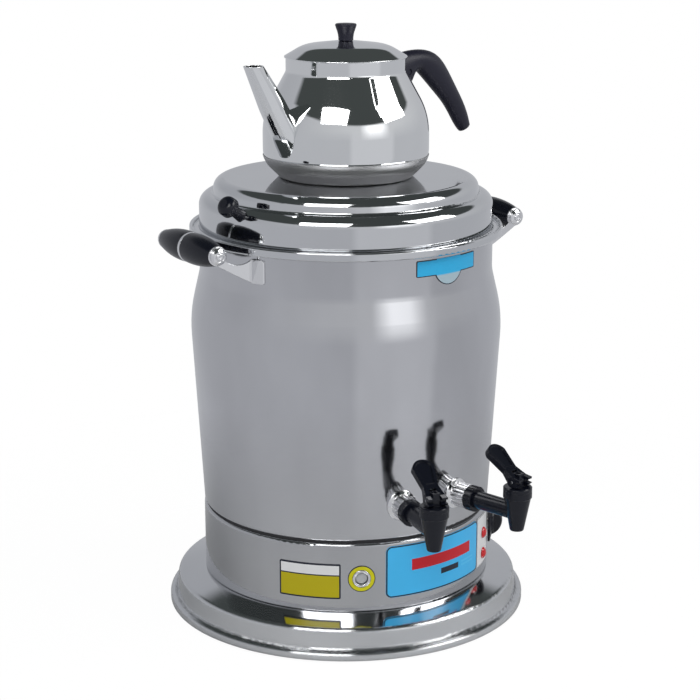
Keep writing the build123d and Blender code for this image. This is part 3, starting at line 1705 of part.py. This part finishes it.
def bracket_solid(grow, tongue_grow):
    """Welded block with its tongue, grown to cut its own pocket in the handle."""
    with BuildPart() as solid:
        with BuildSketch(Plane.XZ):
            with Locations((0, bracket_z)):
                RectangleRounded(BRACKET_W + grow + grow, BRACKET_H + grow + grow, BRACKET_ROUND)
        extrude(amount=-BRACKET_R - grow)
        with BuildSketch(Plane.XZ):
            with Locations((0, bracket_z)):
                Rectangle(TONGUE_W + tongue_grow + tongue_grow, TONGUE_H + tongue_grow + tongue_grow)
        extrude(amount=-BRACKET_R - TONGUE_L - grow)
    return solid.part


def teapot_handle():
    """Black handle that leaves the neck, bends over, narrows and hangs free."""
    with BuildPart() as handle:
        for spot, deep, wide in zip(ARC_SPOT_SHARES, ARC_DEEP_SHARES, ARC_WIDE_SHARES):
            with BuildSketch(arc_plane(spot)):
                Ellipse(ARC_WIDE * wide, ARC_DEEP * deep)
        loft()
        add(pot_block(FIT), mode=Mode.SUBTRACT)
        add(bracket_solid(FIT, FIT), mode=Mode.SUBTRACT)
        with BuildSketch(Plane.YZ.offset(-ARC_SCREW_TAIL - FIT)):
            with Locations((arc_screw_y, bracket_z)):
                Circle(ARC_SCREW_R + FIT)
        extrude(amount=ARC_SCREW_TAIL + ARC_SCREW_SEAT + FIT, mode=Mode.SUBTRACT)
        with BuildSketch(Plane.YZ.offset(ARC_SCREW_SEAT)):
            with Locations((arc_screw_y, bracket_z)):
                Circle(ARC_SCREW_HEAD_R + FIT)
        extrude(amount=ARC_WIDE, mode=Mode.SUBTRACT)
    return turned_pot(handle.part)


def teapot_bracket():
    """Welded block on the neck with a tongue that reaches into the handle."""
    with BuildPart() as bracket:
        add(bracket_solid(0, 0))
        add(pot_block(FIT), mode=Mode.SUBTRACT)
        with BuildSketch(Plane.YZ.offset(-TONGUE_W)):
            with Locations((arc_screw_y, bracket_z)):
                Circle(ARC_SCREW_R + FIT)
        extrude(amount=TONGUE_W + TONGUE_W, mode=Mode.SUBTRACT)
    return turned_pot(bracket.part)


def teapot_handle_screw():
    head = ARC_SCREW_SEAT + FIT
    with BuildPart() as screw:
        with BuildSketch(Plane.YZ.offset(-ARC_SCREW_TAIL)):
            with Locations((arc_screw_y, bracket_z)):
                Circle(ARC_SCREW_R)
        extrude(amount=ARC_SCREW_TAIL + head)
        with BuildSketch(Plane.YZ.offset(head)):
            with Locations((arc_screw_y, bracket_z)):
                Circle(ARC_SCREW_HEAD_R)
        extrude(amount=ARC_SCREW_HEAD_T)
    return turned_pot(screw.part)


def teapot_lid():
    """Low dome that rests on the rim of the teapot, with a plug ring inside the neck."""
    plug = POT_NECK_R - SHEET - RUN
    skin = [
        (POT_LID_R, pot_rim_z + SHEET),
        (POT_LID_SHOULDER_R, pot_rim_z + POT_LID_SHOULDER_H),
        (POT_LID_FLAT_R, pot_rim_z + POT_LID_H),
        (0, pot_rim_z + POT_LID_H),
    ]
    with BuildPart() as lid:
        add(pressed(skin, pot_lid_rounds, SHEET))
        add(ring(POT_LID_R, plug - SHEET, pot_rim_z, SHEET))
        add(ring(plug, plug - SHEET, pot_rim_z - POT_PLUG_H, POT_PLUG_H + SHEET))
        with BuildSketch(Plane.XY.offset(pot_rim_z + POT_LID_H + CUT)):
            Circle(POT_SCREW_R + FIT)
        extrude(amount=-(SHEET + CUT + CUT), mode=Mode.SUBTRACT)
    return turned_pot(lid.part)


def teapot_knob():
    """Trumpet-shaped knob that widens to a flat top."""
    low = pot_rim_z + POT_LID_H + FIT
    skin = [
        (0, low),
        (POT_KNOB_R, low),
        (POT_KNOB_R, low + POT_KNOB_WAIST_H),
        (POT_KNOB_TOP_R, low + POT_KNOB_H),
        (0, low + POT_KNOB_H),
    ]
    with BuildPart() as knob:
        add(turned(skin, (POT_KNOB_EDGE, POT_KNOB_ROUND, POT_KNOB_EDGE)))
        with BuildSketch(Plane.XY.offset(low)):
            Circle(POT_SCREW_R + FIT)
        extrude(amount=POT_SCREW_L, mode=Mode.SUBTRACT)
    return turned_pot(knob.part)


def teapot_knob_screw():
    under = pot_rim_z + POT_LID_H - SHEET - SHEET / 2
    with BuildPart() as screw:
        with BuildSketch(Plane.XY.offset(under - POT_SCREW_HEAD_H)):
            Circle(POT_SCREW_HEAD_R)
        extrude(amount=POT_SCREW_HEAD_H)
        with BuildSketch(Plane.XY.offset(under - FIT)):
            Circle(POT_SCREW_R)
        extrude(amount=POT_SCREW_L + SHEET)
    return turned_pot(screw.part)


# Every piece and its name

fixed_pieces = {
    "base_tray": base_tray,
    "base_plate": base_plate,
    "feet": feet,
    "base_screws": base_screws,
    "heater_housing": heater_housing,
    "seam_ring": seam_ring,
    "body_shell": body_shell,
    "water_tank": water_tank,
    "rim_ring": rim_ring,
    "heating_element": heating_element,
    "tank_gaskets": tank_gaskets,
    "heater_nuts": heater_nuts,
    "reset_bezel": reset_bezel,
    "reset_button": reset_button,
    "thermal_cutout": thermal_cutout,
    "thermostat_body": thermostat_body,
    "thermostat_shaft": thermostat_shaft,
    "thermostat_knob": thermostat_knob,
    "pilot_lamps": pilot_lamps,
    "cable_gland": cable_gland,
    "terminal_block": terminal_block,
    "front_plate": front_plate,
    "lamp_strip": lamp_strip,
    "info_plate": info_plate,
    "upper_plate": upper_plate,
    "reset_mark": reset_mark,
    "lid_shell": lid_shell,
    "lid_knob": lid_knob,
    "lid_knob_screw": lid_knob_screw,
    "teapot_body": teapot_body,
    "teapot_base": teapot_base,
    "teapot_spout": teapot_spout,
    "teapot_handle": teapot_handle,
    "teapot_bracket": teapot_bracket,
    "teapot_handle_screw": teapot_handle_screw,
    "teapot_lid": teapot_lid,
    "teapot_knob": teapot_knob,
    "teapot_knob_screw": teapot_knob_screw,
}
tap_groups = {
    "tap_collars": tap_collar,
    "tap_rings": tap_ring,
    "tap_back_nuts": tap_back_nut,
}
tap_pieces = {
    "tap_body": tap_body,
    "tap_bonnet": tap_bonnet,
    "tap_stem": tap_stem,
    "tap_seat_cup": tap_seat_cup,
    "tap_pin": tap_pin,
    "tap_lever": tap_lever,
}
sides = {"left": -1, "right": 1}

for name, draw in fixed_pieces.items():
    save(draw(), name)
for name, draw in tap_groups.items():
    save(each_tap(draw), name)
for name, draw in tap_pieces.items():
    piece = draw()
    for side, way in sides.items():
        save(on_wall(piece, way * TAP_ANGLE), f"{side}_{name}")
for side, way in sides.items():
    save(on_wall(both_ends(grip_half()), way * SIDE_ANGLE), f"{side}_grip")
    save(on_wall(both_ends(grip_arm()), way * SIDE_ANGLE), f"{side}_grip_arms")
save(at_sides(grip_ring()), "grip_rings")
save(at_sides(tie_rod()), "grip_rods")
save(at_sides(both_ends(end_cap())), "grip_caps")
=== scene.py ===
import bpy
import math
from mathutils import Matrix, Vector


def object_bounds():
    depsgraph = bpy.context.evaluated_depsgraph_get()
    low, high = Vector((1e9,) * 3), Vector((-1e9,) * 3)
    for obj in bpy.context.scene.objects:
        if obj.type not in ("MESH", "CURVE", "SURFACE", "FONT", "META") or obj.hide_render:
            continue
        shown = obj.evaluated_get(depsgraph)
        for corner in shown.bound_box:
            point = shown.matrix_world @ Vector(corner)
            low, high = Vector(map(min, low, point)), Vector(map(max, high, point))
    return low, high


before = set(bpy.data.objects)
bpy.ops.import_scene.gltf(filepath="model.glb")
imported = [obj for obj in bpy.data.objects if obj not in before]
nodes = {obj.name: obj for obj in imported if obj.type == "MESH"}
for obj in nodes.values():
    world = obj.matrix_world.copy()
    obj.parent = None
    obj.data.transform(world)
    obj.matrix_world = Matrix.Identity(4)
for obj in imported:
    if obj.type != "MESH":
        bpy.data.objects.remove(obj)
cad_low, cad_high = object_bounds()
scene = bpy.context.scene


# Node graphs

MIX_SHARE, MIX_FIRST, MIX_SECOND, MIX_COLOUR = 0, 6, 7, 2
BEVEL_SAMPLES = 6


def rgb(red, green, blue):
    return (red, green, blue, 1.0)


class Graph:
    """Node graph with short calls for the nodes that the finishes share."""

    def __init__(self, tree):
        self.tree = tree

    def node(self, kind, **values):
        made = self.tree.nodes.new(kind)
        for key, value in values.items():
            setattr(made, key, value)
        return made

    def feed(self, socket, value):
        if isinstance(value, bpy.types.NodeSocket):
            self.tree.links.new(value, socket)
        else:
            socket.default_value = value

    def math(self, kind, *values):
        made = self.node("ShaderNodeMath", operation=kind)
        for socket, value in zip(made.inputs, values):
            self.feed(socket, value)
        return made.outputs[0]

    def length(self, *parts):
        squares = [self.math("POWER", part, 2.0) for part in parts]
        return self.math("SQRT", self.math("ADD", *squares))

    def mix(self, share, first, second):
        made = self.node("ShaderNodeMix", data_type="RGBA")
        for key, value in ((MIX_SHARE, share), (MIX_FIRST, first), (MIX_SECOND, second)):
            self.feed(made.inputs[key], value)
        return made.outputs[MIX_COLOUR]

    def place(self):
        """Coordinates of the point in the object's frame, in metres."""
        return self.node("ShaderNodeTexCoord").outputs["Object"]

    def split(self, vector):
        made = self.node("ShaderNodeSeparateXYZ")
        self.feed(made.inputs[0], vector)
        return made.outputs

    def noise(self, scale, stretch=(1, 1, 1), detail=3.0):
        shape = self.node("ShaderNodeMapping")
        self.feed(shape.inputs["Vector"], self.place())
        shape.inputs["Scale"].default_value = stretch
        made = self.node("ShaderNodeTexNoise")
        self.feed(made.inputs["Vector"], shape.outputs[0])
        made.inputs["Scale"].default_value = scale
        made.inputs["Detail"].default_value = detail
        return made.outputs[0]

    def span(self, value, low, high):
        """A value between 0 and 1, spread over another range."""
        made = self.node("ShaderNodeMapRange")
        self.feed(made.inputs["Value"], value)
        made.inputs["To Min"].default_value = low
        made.inputs["To Max"].default_value = high
        return made.outputs[0]

    def ramp(self, value, slope, start=0.0):
        """Straight ramp that stays between 0 and 1."""
        return self.span(self.math("MULTIPLY_ADD", value, slope, start), 0.0, 1.0)

    def share(self, cosine):
        """A cosine, brought between 0 and 1."""
        return self.ramp(cosine, 0.5, 0.5)

    def within(self, value, low, high):
        above = self.math("GREATER_THAN", value, low)
        return self.math("MULTIPLY", above, self.math("LESS_THAN", value, high))

    def around(self, vector):
        """Direction angle about the upright axis, 0 at the front and growing to +X, with height."""
        x, y, z = self.split(vector)
        return self.math("ARCTAN2", x, self.math("MULTIPLY", y, -1.0)), z

    def aside(self, angle, middle):
        """How far a direction angle is from another one, given in degrees."""
        return self.math("ABSOLUTE", self.math("SUBTRACT", angle, math.radians(middle)))


class Finish(Graph):
    """Node graph of one material."""

    def __init__(self, name):
        self.material = bpy.data.materials.new(name)
        self.material.use_nodes = True
        super().__init__(self.material.node_tree)
        self.surface = self.tree.nodes["Principled BSDF"]
        self.output = self.tree.nodes["Material Output"]

    def set(self, **values):
        for key, value in values.items():
            self.feed(self.surface.inputs[key.replace("_", " ")], value)

    def bump(self, height, strength, distance, edge=0.0):
        """Fine relief, on edges that catch the light as if rounded by so much."""
        made = self.node("ShaderNodeBump")
        made.inputs["Strength"].default_value = strength
        made.inputs["Distance"].default_value = distance
        self.feed(made.inputs["Height"], height)
        if edge:
            soft = self.node("ShaderNodeBevel", samples=BEVEL_SAMPLES)
            soft.inputs["Radius"].default_value = edge
            self.feed(made.inputs["Normal"], soft.outputs[0])
        self.feed(self.surface.inputs["Normal"], made.outputs[0])


# Metals and plastics

PATCH_SCALE = 9.0
PATCH_STRETCH = (1, 1, 0.5)
PATCH_CONTRAST = 2.6
PATCH_START = -0.8
LINE_SHARE = 0.7
DULL_SPREAD = 0.25
RELIEF = 0.0004
TURNED_LINES = 0.02
PLAIN_LINES = 0.004
BRUSHED = (1, 1, 40)
FINE_BRUSHED = (1, 1, 60)
CLOUD_SCALE = 24.0
CLOUD_LIFT = 1.25
CLOUD_FLOOR = 0.001
PLASTIC_SPREAD = 0.15
PLASTIC_SHINE = 0.35
PLASTIC_GRAIN = 900.0


def steel(name, tone, dull, grain, brush=(1, 1, 1), turn=0.0, patchy=0.03, edge=0.0012):
    """Bare metal with faint patches; one that is turned has fine lines and a stretched sheen."""
    g = Finish(name)
    cloud = g.ramp(g.noise(PATCH_SCALE, PATCH_STRETCH), PATCH_CONTRAST, PATCH_START)
    light = rgb(*[min(1.0, part * (1.0 + patchy)) for part in tone])
    dark = rgb(*[part * (1.0 - patchy) for part in tone])
    lines = g.noise(grain, brush, detail=2.0)
    wear = g.math("ADD", g.math("MULTIPLY", lines, LINE_SHARE), g.math("MULTIPLY", cloud, 1.0 - LINE_SHARE))
    g.set(Base_Color=g.mix(cloud, light, dark), Metallic=1.0)
    g.set(Roughness=g.span(wear, dull * (1.0 - DULL_SPREAD), dull * (1.0 + DULL_SPREAD)))
    if turn:
        g.set(Anisotropic=turn)
        tangent = g.node("ShaderNodeTangent", direction_type="RADIAL", axis="Z")
        g.feed(g.surface.inputs["Tangent"], tangent.outputs[0])
    g.bump(lines, TURNED_LINES if turn else PLAIN_LINES, RELIEF, edge)
    return g.material


def plastic(name, tone, dull, coat=0.0):
    """Moulded plastic with a fine grain."""
    g = Finish(name)
    grain = g.noise(PLASTIC_GRAIN)
    cloud = g.noise(CLOUD_SCALE)
    pale = rgb(*[part * CLOUD_LIFT + CLOUD_FLOOR for part in tone])
    g.set(Base_Color=g.mix(cloud, rgb(*tone), pale))
    g.set(Roughness=g.span(cloud, dull * (1.0 - PLASTIC_SPREAD), dull * (1.0 + PLASTIC_SPREAD)))
    g.set(Coat_Weight=coat, Specular_IOR_Level=PLASTIC_SHINE)
    g.bump(grain, strength=0.05, distance=0.0003, edge=0.0006)
    return g.material


# Printed plates; a stripe has its left, right, low and high edge, from the middle of the plate

WHITE = rgb(0.83, 0.83, 0.83)
SKY = rgb(0.035, 0.45, 0.88)
PALE_SKY = rgb(0.09, 0.56, 0.94)
TEAL = rgb(0.03, 0.42, 0.74)
PALE_TEAL = rgb(0.38, 0.50, 0.56)
YELLOW = rgb(0.52, 0.44, 0.003)
BRIGHT_YELLOW = rgb(0.66, 0.62, 0.008)
INK = rgb(0.016, 0.020, 0.035)
RED = rgb(0.60, 0.012, 0.022)

PRINT_CLOUD = 60.0
PRINT_GRAIN = 700.0
PRINT_FADE = 0.06
PRINT_DULL = 0.30
PRINT_SHINE = 0.3
SKY_SLOPE, SKY_START = 1.0, 0.5
FRONT_CORNER = 0.006
FRONT_LINE = (0.0002, 0.0016)
RED_STRIPE = (-0.036, 0.046, -0.001, 0.011)
INK_STRIPE = (0.000, 0.026, -0.0125, -0.0065)
UPPER_PALE_STRIPE = (0.031, 0.052, -0.0085, -0.0065)
LOWER_PALE_STRIPE = (0.031, 0.052, -0.0125, -0.0105)
STRIP_CORNER = 0.002
STRIP_LINE = (0.0004, 0.0010)
INFO_CORNER = 0.0015
INFO_LINE = 0.0016
INFO_HEAD_LOW = 0.0065
INFO_HEAD_LINE = (0.0057, 0.0070)
RING_LINES = (0.0094, 0.0131)
BAND_H = 0.0164
BAND_CORNER = 0.0015
DISC_DROP = 0.0002
UPPER_LINE = 0.0009
FIELD_TOP = -0.0076
FIELD_SHARPNESS = 700.0


class Plate:
    """Where a plate lies on the wall of the urn, taken from the frame."""

    def __init__(self, name):
        points = [vertex.co for vertex in nodes[name].data.vertices]
        turns = [math.atan2(point.x, -point.y) for point in points]
        self.radius = max(point.xy.length for point in points)
        self.turn = (min(turns) + max(turns)) / 2
        self.width = 2 * self.radius * math.sin((max(turns) - min(turns)) / 2)
        self.low = min(point.z for point in points)
        self.high = max(point.z for point in points)
        self.height = self.high - self.low
        self.middle = (self.low + self.high) / 2

    def spot(self, g, middle):
        """Sideways and upward distance of the point from the middle of the plate."""
        angle, height = g.around(g.place())
        side = g.math("SINE", g.math("SUBTRACT", angle, self.turn))
        return g.math("MULTIPLY", side, self.radius), g.math("SUBTRACT", height, middle)


def box_gap(g, side, rise, width, height, corner):
    """Distance to the edge of a rounded box, below zero inside it."""
    across = g.math("SUBTRACT", g.math("ABSOLUTE", side), width / 2 - corner)
    upward = g.math("SUBTRACT", g.math("ABSOLUTE", rise), height / 2 - corner)
    outside = g.length(*[g.math("MAXIMUM", part, 0.0) for part in (across, upward)])
    inside = g.math("MINIMUM", g.math("MAXIMUM", across, upward), 0.0)
    return g.math("SUBTRACT", g.math("ADD", outside, inside), corner)


def print_finish(g, colour):
    fade = g.math("MULTIPLY", g.noise(PRINT_CLOUD), PRINT_FADE)
    g.set(Base_Color=g.mix(fade, colour, INK), Roughness=PRINT_DULL, Specular_IOR_Level=PRINT_SHINE)
    g.bump(g.noise(PRINT_GRAIN), strength=0.03, distance=0.0002)
    return g.material


def outlined(g, colour, gap, line):
    """Colour with a dark line that runs between two distances inside the edge."""
    near, far = line
    return g.mix(g.within(gap, -far, -near), colour, INK)


def strip_print():
    """White strip with a thin dark outline."""
    g = Finish("white_strip")
    plate = Plate("lamp_strip")
    side, rise = plate.spot(g, plate.middle)
    gap = box_gap(g, side, rise, plate.width, plate.height, STRIP_CORNER)
    return print_finish(g, outlined(g, WHITE, gap, STRIP_LINE))


def front_print():
    """Sky-blue plate with a dark outline and plain stripes."""
    g = Finish("front_print")
    plate = Plate("front_plate")
    side, rise = plate.spot(g, plate.middle)
    gap = box_gap(g, side, rise, plate.width, plate.height, FRONT_CORNER)
    colour = g.mix(g.ramp(side, SKY_SLOPE, SKY_START), PALE_SKY, SKY)
    for stripe, (left, right, low, high) in (
        (RED, RED_STRIPE),
        (INK, INK_STRIPE),
        (PALE_SKY, UPPER_PALE_STRIPE),
        (PALE_SKY, LOWER_PALE_STRIPE),
    ):
        inside = g.math("MULTIPLY", g.within(side, left, right), g.within(rise, low, high))
        colour = g.mix(inside, colour, stripe)
    return print_finish(g, outlined(g, colour, gap, FRONT_LINE))


def info_print():
    """White head over a yellow field, with a dark outline and a dark line between them."""
    g = Finish("info_print")
    plate = Plate("info_plate")
    side, rise = plate.spot(g, plate.middle)
    gap = box_gap(g, side, rise, plate.width, plate.height, INFO_CORNER)
    colour = g.mix(g.math("GREATER_THAN", rise, INFO_HEAD_LOW), YELLOW, WHITE)
    outline = g.math("GREATER_THAN", gap, -INFO_LINE)
    return print_finish(g, g.mix(g.math("MAXIMUM", outline, g.within(rise, *INFO_HEAD_LINE)), colour, INK))


def ring_print():
    """Yellow ring with thin dark outlines."""
    g = Finish("ring_print")
    plate = Plate("reset_mark")
    out = g.length(*plate.spot(g, plate.middle))
    near, far = RING_LINES
    lines = g.math("MAXIMUM", g.math("GREATER_THAN", out, far), g.math("LESS_THAN", out, near))
    return print_finish(g, g.mix(lines, BRIGHT_YELLOW, INK))


def upper_print():
    """Blue band with a paler round field, both with a dark outline."""
    g = Finish("upper_print")
    plate = Plate("upper_plate")
    middle = plate.high - BAND_H / 2
    side, rise = plate.spot(g, middle)
    band_gap = box_gap(g, side, rise, plate.width, BAND_H, BAND_CORNER)
    disc = g.length(side, g.math("ADD", rise, DISC_DROP))
    disc_gap = g.math("SUBTRACT", disc, middle - plate.low - DISC_DROP)
    gap = g.math("MINIMUM", band_gap, disc_gap)
    colour = g.mix(g.ramp(g.math("SUBTRACT", FIELD_TOP, rise), FIELD_SHARPNESS), TEAL, PALE_TEAL)
    return print_finish(g, g.mix(g.math("GREATER_THAN", gap, -UPPER_LINE), colour, INK))


# Which finish each piece has

materials = {
    "mirror": steel("mirror_steel", (0.81, 0.82, 0.825), dull=0.045, grain=140.0),
    "polished": steel("polished_steel", (0.68, 0.69, 0.705), dull=0.06, grain=140.0),
    "tray": steel("tray_steel", (0.67, 0.68, 0.695), dull=0.09, grain=140.0, edge=0.0045),
    "satin": steel("satin_steel", (0.59, 0.595, 0.615), dull=0.10, grain=60.0, brush=BRUSHED,
                   turn=0.4, patchy=0.09),
    "skirt": steel("skirt_steel", (0.52, 0.525, 0.54), dull=0.10, grain=60.0, brush=BRUSHED,
                   turn=0.4, patchy=0.09),
    "band": steel("brushed_band", (0.50, 0.50, 0.505), dull=0.42, grain=50.0, brush=FINE_BRUSHED, turn=0.7),
    "bright": steel("bright_metal", (0.82, 0.82, 0.83), dull=0.10, grain=200.0),
    "brass": steel("brass", (0.72, 0.56, 0.27), dull=0.25, grain=120.0),
    "black": plastic("black_plastic", (0.004, 0.005, 0.010), dull=0.24),
    "matt": plastic("matt_black_plastic", (0.008, 0.008, 0.018), dull=0.42),
    "grey": plastic("grey_plastic", (0.42, 0.43, 0.44), dull=0.42),
    "rubber": plastic("rubber", (0.018, 0.018, 0.020), dull=0.62),
    "red": plastic("red_lens", (0.55, 0.004, 0.008), dull=0.12, coat=0.6),
    "lamp_strip": strip_print(),
    "front_plate": front_print(),
    "upper_plate": upper_print(),
    "info_plate": info_print(),
    "reset_mark": ring_print(),
}
finishes = {
    "mirror": ["teapot_body", "teapot_spout", "teapot_lid"],
    "polished": ["rim_ring", "lid_shell"],
    "tray": ["base_tray"],
    "satin": ["body_shell", "water_tank", "base_plate"],
    "skirt": ["heater_housing"],
    "band": ["teapot_base"],
    "bright": ["grip_caps", "grip_rings", "left_grip_arms", "right_grip_arms", "tap_collars", "reset_bezel",
               "teapot_bracket", "teapot_knob_screw", "lid_knob_screw", "base_screws",
               "grip_rods", "left_tap_stem", "right_tap_stem", "left_tap_pin", "right_tap_pin",
               "thermostat_shaft", "heating_element"],
    "brass": ["heater_nuts", "tap_back_nuts"],
    "matt": ["teapot_handle", "teapot_handle_screw", "teapot_knob"],
    "black": ["left_grip", "right_grip", "lid_knob", "thermostat_knob",
              "tap_rings", "left_tap_body", "right_tap_body", "left_tap_bonnet", "right_tap_bonnet",
              "left_tap_lever", "right_tap_lever", "cable_gland"],
    "grey": ["reset_button", "thermal_cutout", "thermostat_body", "terminal_block"],
    "rubber": ["feet", "seam_ring", "tank_gaskets", "left_tap_seat_cup", "right_tap_seat_cup"],
    "lamp_strip": ["lamp_strip"],
    "front_plate": ["front_plate"],
    "upper_plate": ["upper_plate"],
    "info_plate": ["info_plate"],
    "reset_mark": ["reset_mark"],
    "red": ["pilot_lamps"],
}
for finish, names in finishes.items():
    for name in names:
        data = nodes[name].data
        data.materials.clear()
        data.materials.append(materials[finish])


# Floor, white for the camera and fading out before it reaches the horizon

FLOOR_R = 0.75
FLOOR_SIDES = 64
FLOOR_DROP = 0.0002
FLOOR_TONE = rgb(0.78, 0.78, 0.79)
FLOOR_DARK = rgb(0.75, 0.75, 0.76)
FLOOR_DULL = 0.6
FLOOR_CLOUD = 3.0
FLOOR_GLOW = 1.035
GLOW_SHARE = 0.94
FADE_SLOPE = 2.2
FADE_START = -0.6


def floor_finish():
    """Pale floor that the camera sees as white, with a little of the shadow left."""
    g = Finish("floor")
    g.set(Base_Color=g.mix(g.noise(FLOOR_CLOUD), FLOOR_TONE, FLOOR_DARK), Roughness=FLOOR_DULL)
    glow = g.node("ShaderNodeEmission")
    glow.inputs["Strength"].default_value = FLOOR_GLOW
    seen = g.node("ShaderNodeLightPath").outputs["Is Camera Ray"]
    clear = g.node("ShaderNodeBsdfTransparent").outputs[0]
    x, y, z = g.split(g.place())
    lit = shader_mix(g, g.math("MULTIPLY", seen, GLOW_SHARE), g.surface.outputs[0], glow.outputs[0])
    faded = shader_mix(g, g.ramp(g.length(x, y), FADE_SLOPE, FADE_START), lit, clear)
    g.feed(g.output.inputs["Surface"], faded)
    return g.material


def shader_mix(g, share, first, second):
    made = g.node("ShaderNodeMixShader")
    for socket, value in zip(made.inputs, (share, first, second)):
        g.feed(socket, value)
    return made.outputs[0]


floor_mesh = bpy.data.meshes.new("floor")
steps = [2 * math.pi * side / FLOOR_SIDES for side in range(FLOOR_SIDES)]
round_edge = [(FLOOR_R * math.cos(step), FLOOR_R * math.sin(step), 0) for step in steps]
floor_mesh.from_pydata(round_edge, [], [tuple(range(FLOOR_SIDES))])
floor_mesh.materials.append(floor_finish())
floor = bpy.data.objects.new("floor", floor_mesh)
scene.collection.objects.link(floor)
floor.location.z = cad_low[2] - FLOOR_DROP


# Studio round the object, which shows in the metal

SWEEP = rgb(0.52, 0.53, 0.56)
LIT_SWEEP = rgb(0.63, 0.64, 0.67)
BACK_WALL = rgb(0.44, 0.45, 0.48)
SIDE_WALL = rgb(0.66, 0.67, 0.69)
GLOW = rgb(1.50, 1.51, 1.53)
CEILING = rgb(0.060, 0.068, 0.067)
BACKDROP = rgb(1.0, 1.0, 1.0)
WALL_SLOPE, WALL_START = 3.6, 0.16
PANEL_TURN, PANEL_HALF, PANEL_SLOPE = 4.0, 34.0, 9.0
GLOW_TURN, GLOW_HALF, GLOW_SLOPE = 8.0, 22.0, 4.0
CEILING_TURN, CEILING_SLOPE = 12.0, 18.0
CEILING_RISE, CEILING_DIP = 0.42, 0.12


def upright_patch(g, angle, turn, half, slope):
    """1 in a band of directions that wide, falling to 0 beside it."""
    return g.ramp(g.math("SUBTRACT", math.radians(half), g.aside(angle, turn)), slope)


def studio(g):
    """Pale walls with a lit panel, under a ceiling that starts lowest at the front; the camera sees white."""
    angle, rise = g.around(g.node("ShaderNodeTexCoord").outputs["Generated"])
    facing = g.math("COSINE", g.math("SUBTRACT", angle, math.radians(CEILING_TURN)))
    wall = g.mix(g.share(facing), BACK_WALL, SIDE_WALL)
    wall = g.mix(upright_patch(g, angle, GLOW_TURN, GLOW_HALF, GLOW_SLOPE), wall, GLOW)
    sweep = g.mix(upright_patch(g, angle, PANEL_TURN, PANEL_HALF, PANEL_SLOPE), SWEEP, LIT_SWEEP)
    wall = g.mix(g.ramp(rise, WALL_SLOPE, WALL_START), sweep, wall)
    above = g.math("SUBTRACT", rise, g.math("MULTIPLY_ADD", facing, -CEILING_DIP, CEILING_RISE))
    room = g.mix(g.ramp(above, CEILING_SLOPE), wall, CEILING)
    seen = g.node("ShaderNodeLightPath").outputs["Is Camera Ray"]
    g.feed(g.tree.nodes["Background"].inputs["Color"], g.mix(seen, room, BACKDROP))


world = bpy.data.worlds.new("studio")
scene.world = world
world.use_nodes = True
studio(Graph(world.node_tree))


# Soft boxes, at one distance from the teapot

LIGHT_AIM = Vector((0.0, 0.0, 0.53))
LIGHT_AWAY = 3.0


def softbox(name, azimuth, rise, size, power):
    """Rectangular light that faces the teapot from a direction and height angle."""
    light = bpy.data.lights.new(name, "AREA")
    light.shape = "RECTANGLE"
    light.size, light.size_y = size
    light.energy = power
    made = bpy.data.objects.new(name, light)
    scene.collection.objects.link(made)
    turn, lift = math.radians(azimuth), math.radians(rise)
    way = Vector((math.sin(turn) * math.cos(lift), -math.cos(turn) * math.cos(lift), math.sin(lift)))
    made.location = LIGHT_AIM + way * LIGHT_AWAY
    made.rotation_euler = (-way).to_track_quat("-Z", "Y").to_euler()


softbox("key", azimuth=-51.0, rise=34.0, size=(1.9, 1.3), power=40.0)
softbox("fill", azimuth=43.0, rise=31.0, size=(2.0, 1.3), power=40.0)
softbox("tube", azimuth=21.0, rise=36.0, size=(0.06, 1.0), power=0.8)


# Camera, fitted to the photograph

CAMERA_TURN = math.radians(-33.7)
CAMERA_DIP = math.radians(14.98)
CAMERA_AWAY = 1.893
CAMERA_ASIDE = 0.0042
CAMERA_H = 0.7774
LENS = 95.7
SENSOR_W = 36.0

lens = bpy.data.cameras.new("camera")
lens.lens = LENS
lens.sensor_width = SENSOR_W
camera = bpy.data.objects.new("camera", lens)
scene.collection.objects.link(camera)
camera.location = (CAMERA_AWAY * math.sin(CAMERA_TURN) + CAMERA_ASIDE * math.cos(CAMERA_TURN),
                   -CAMERA_AWAY * math.cos(CAMERA_TURN) + CAMERA_ASIDE * math.sin(CAMERA_TURN), CAMERA_H)
camera.rotation_euler = (math.radians(90.0) - CAMERA_DIP, 0.0, CAMERA_TURN)
scene.camera = camera
scene.view_settings.view_transform = "Standard"
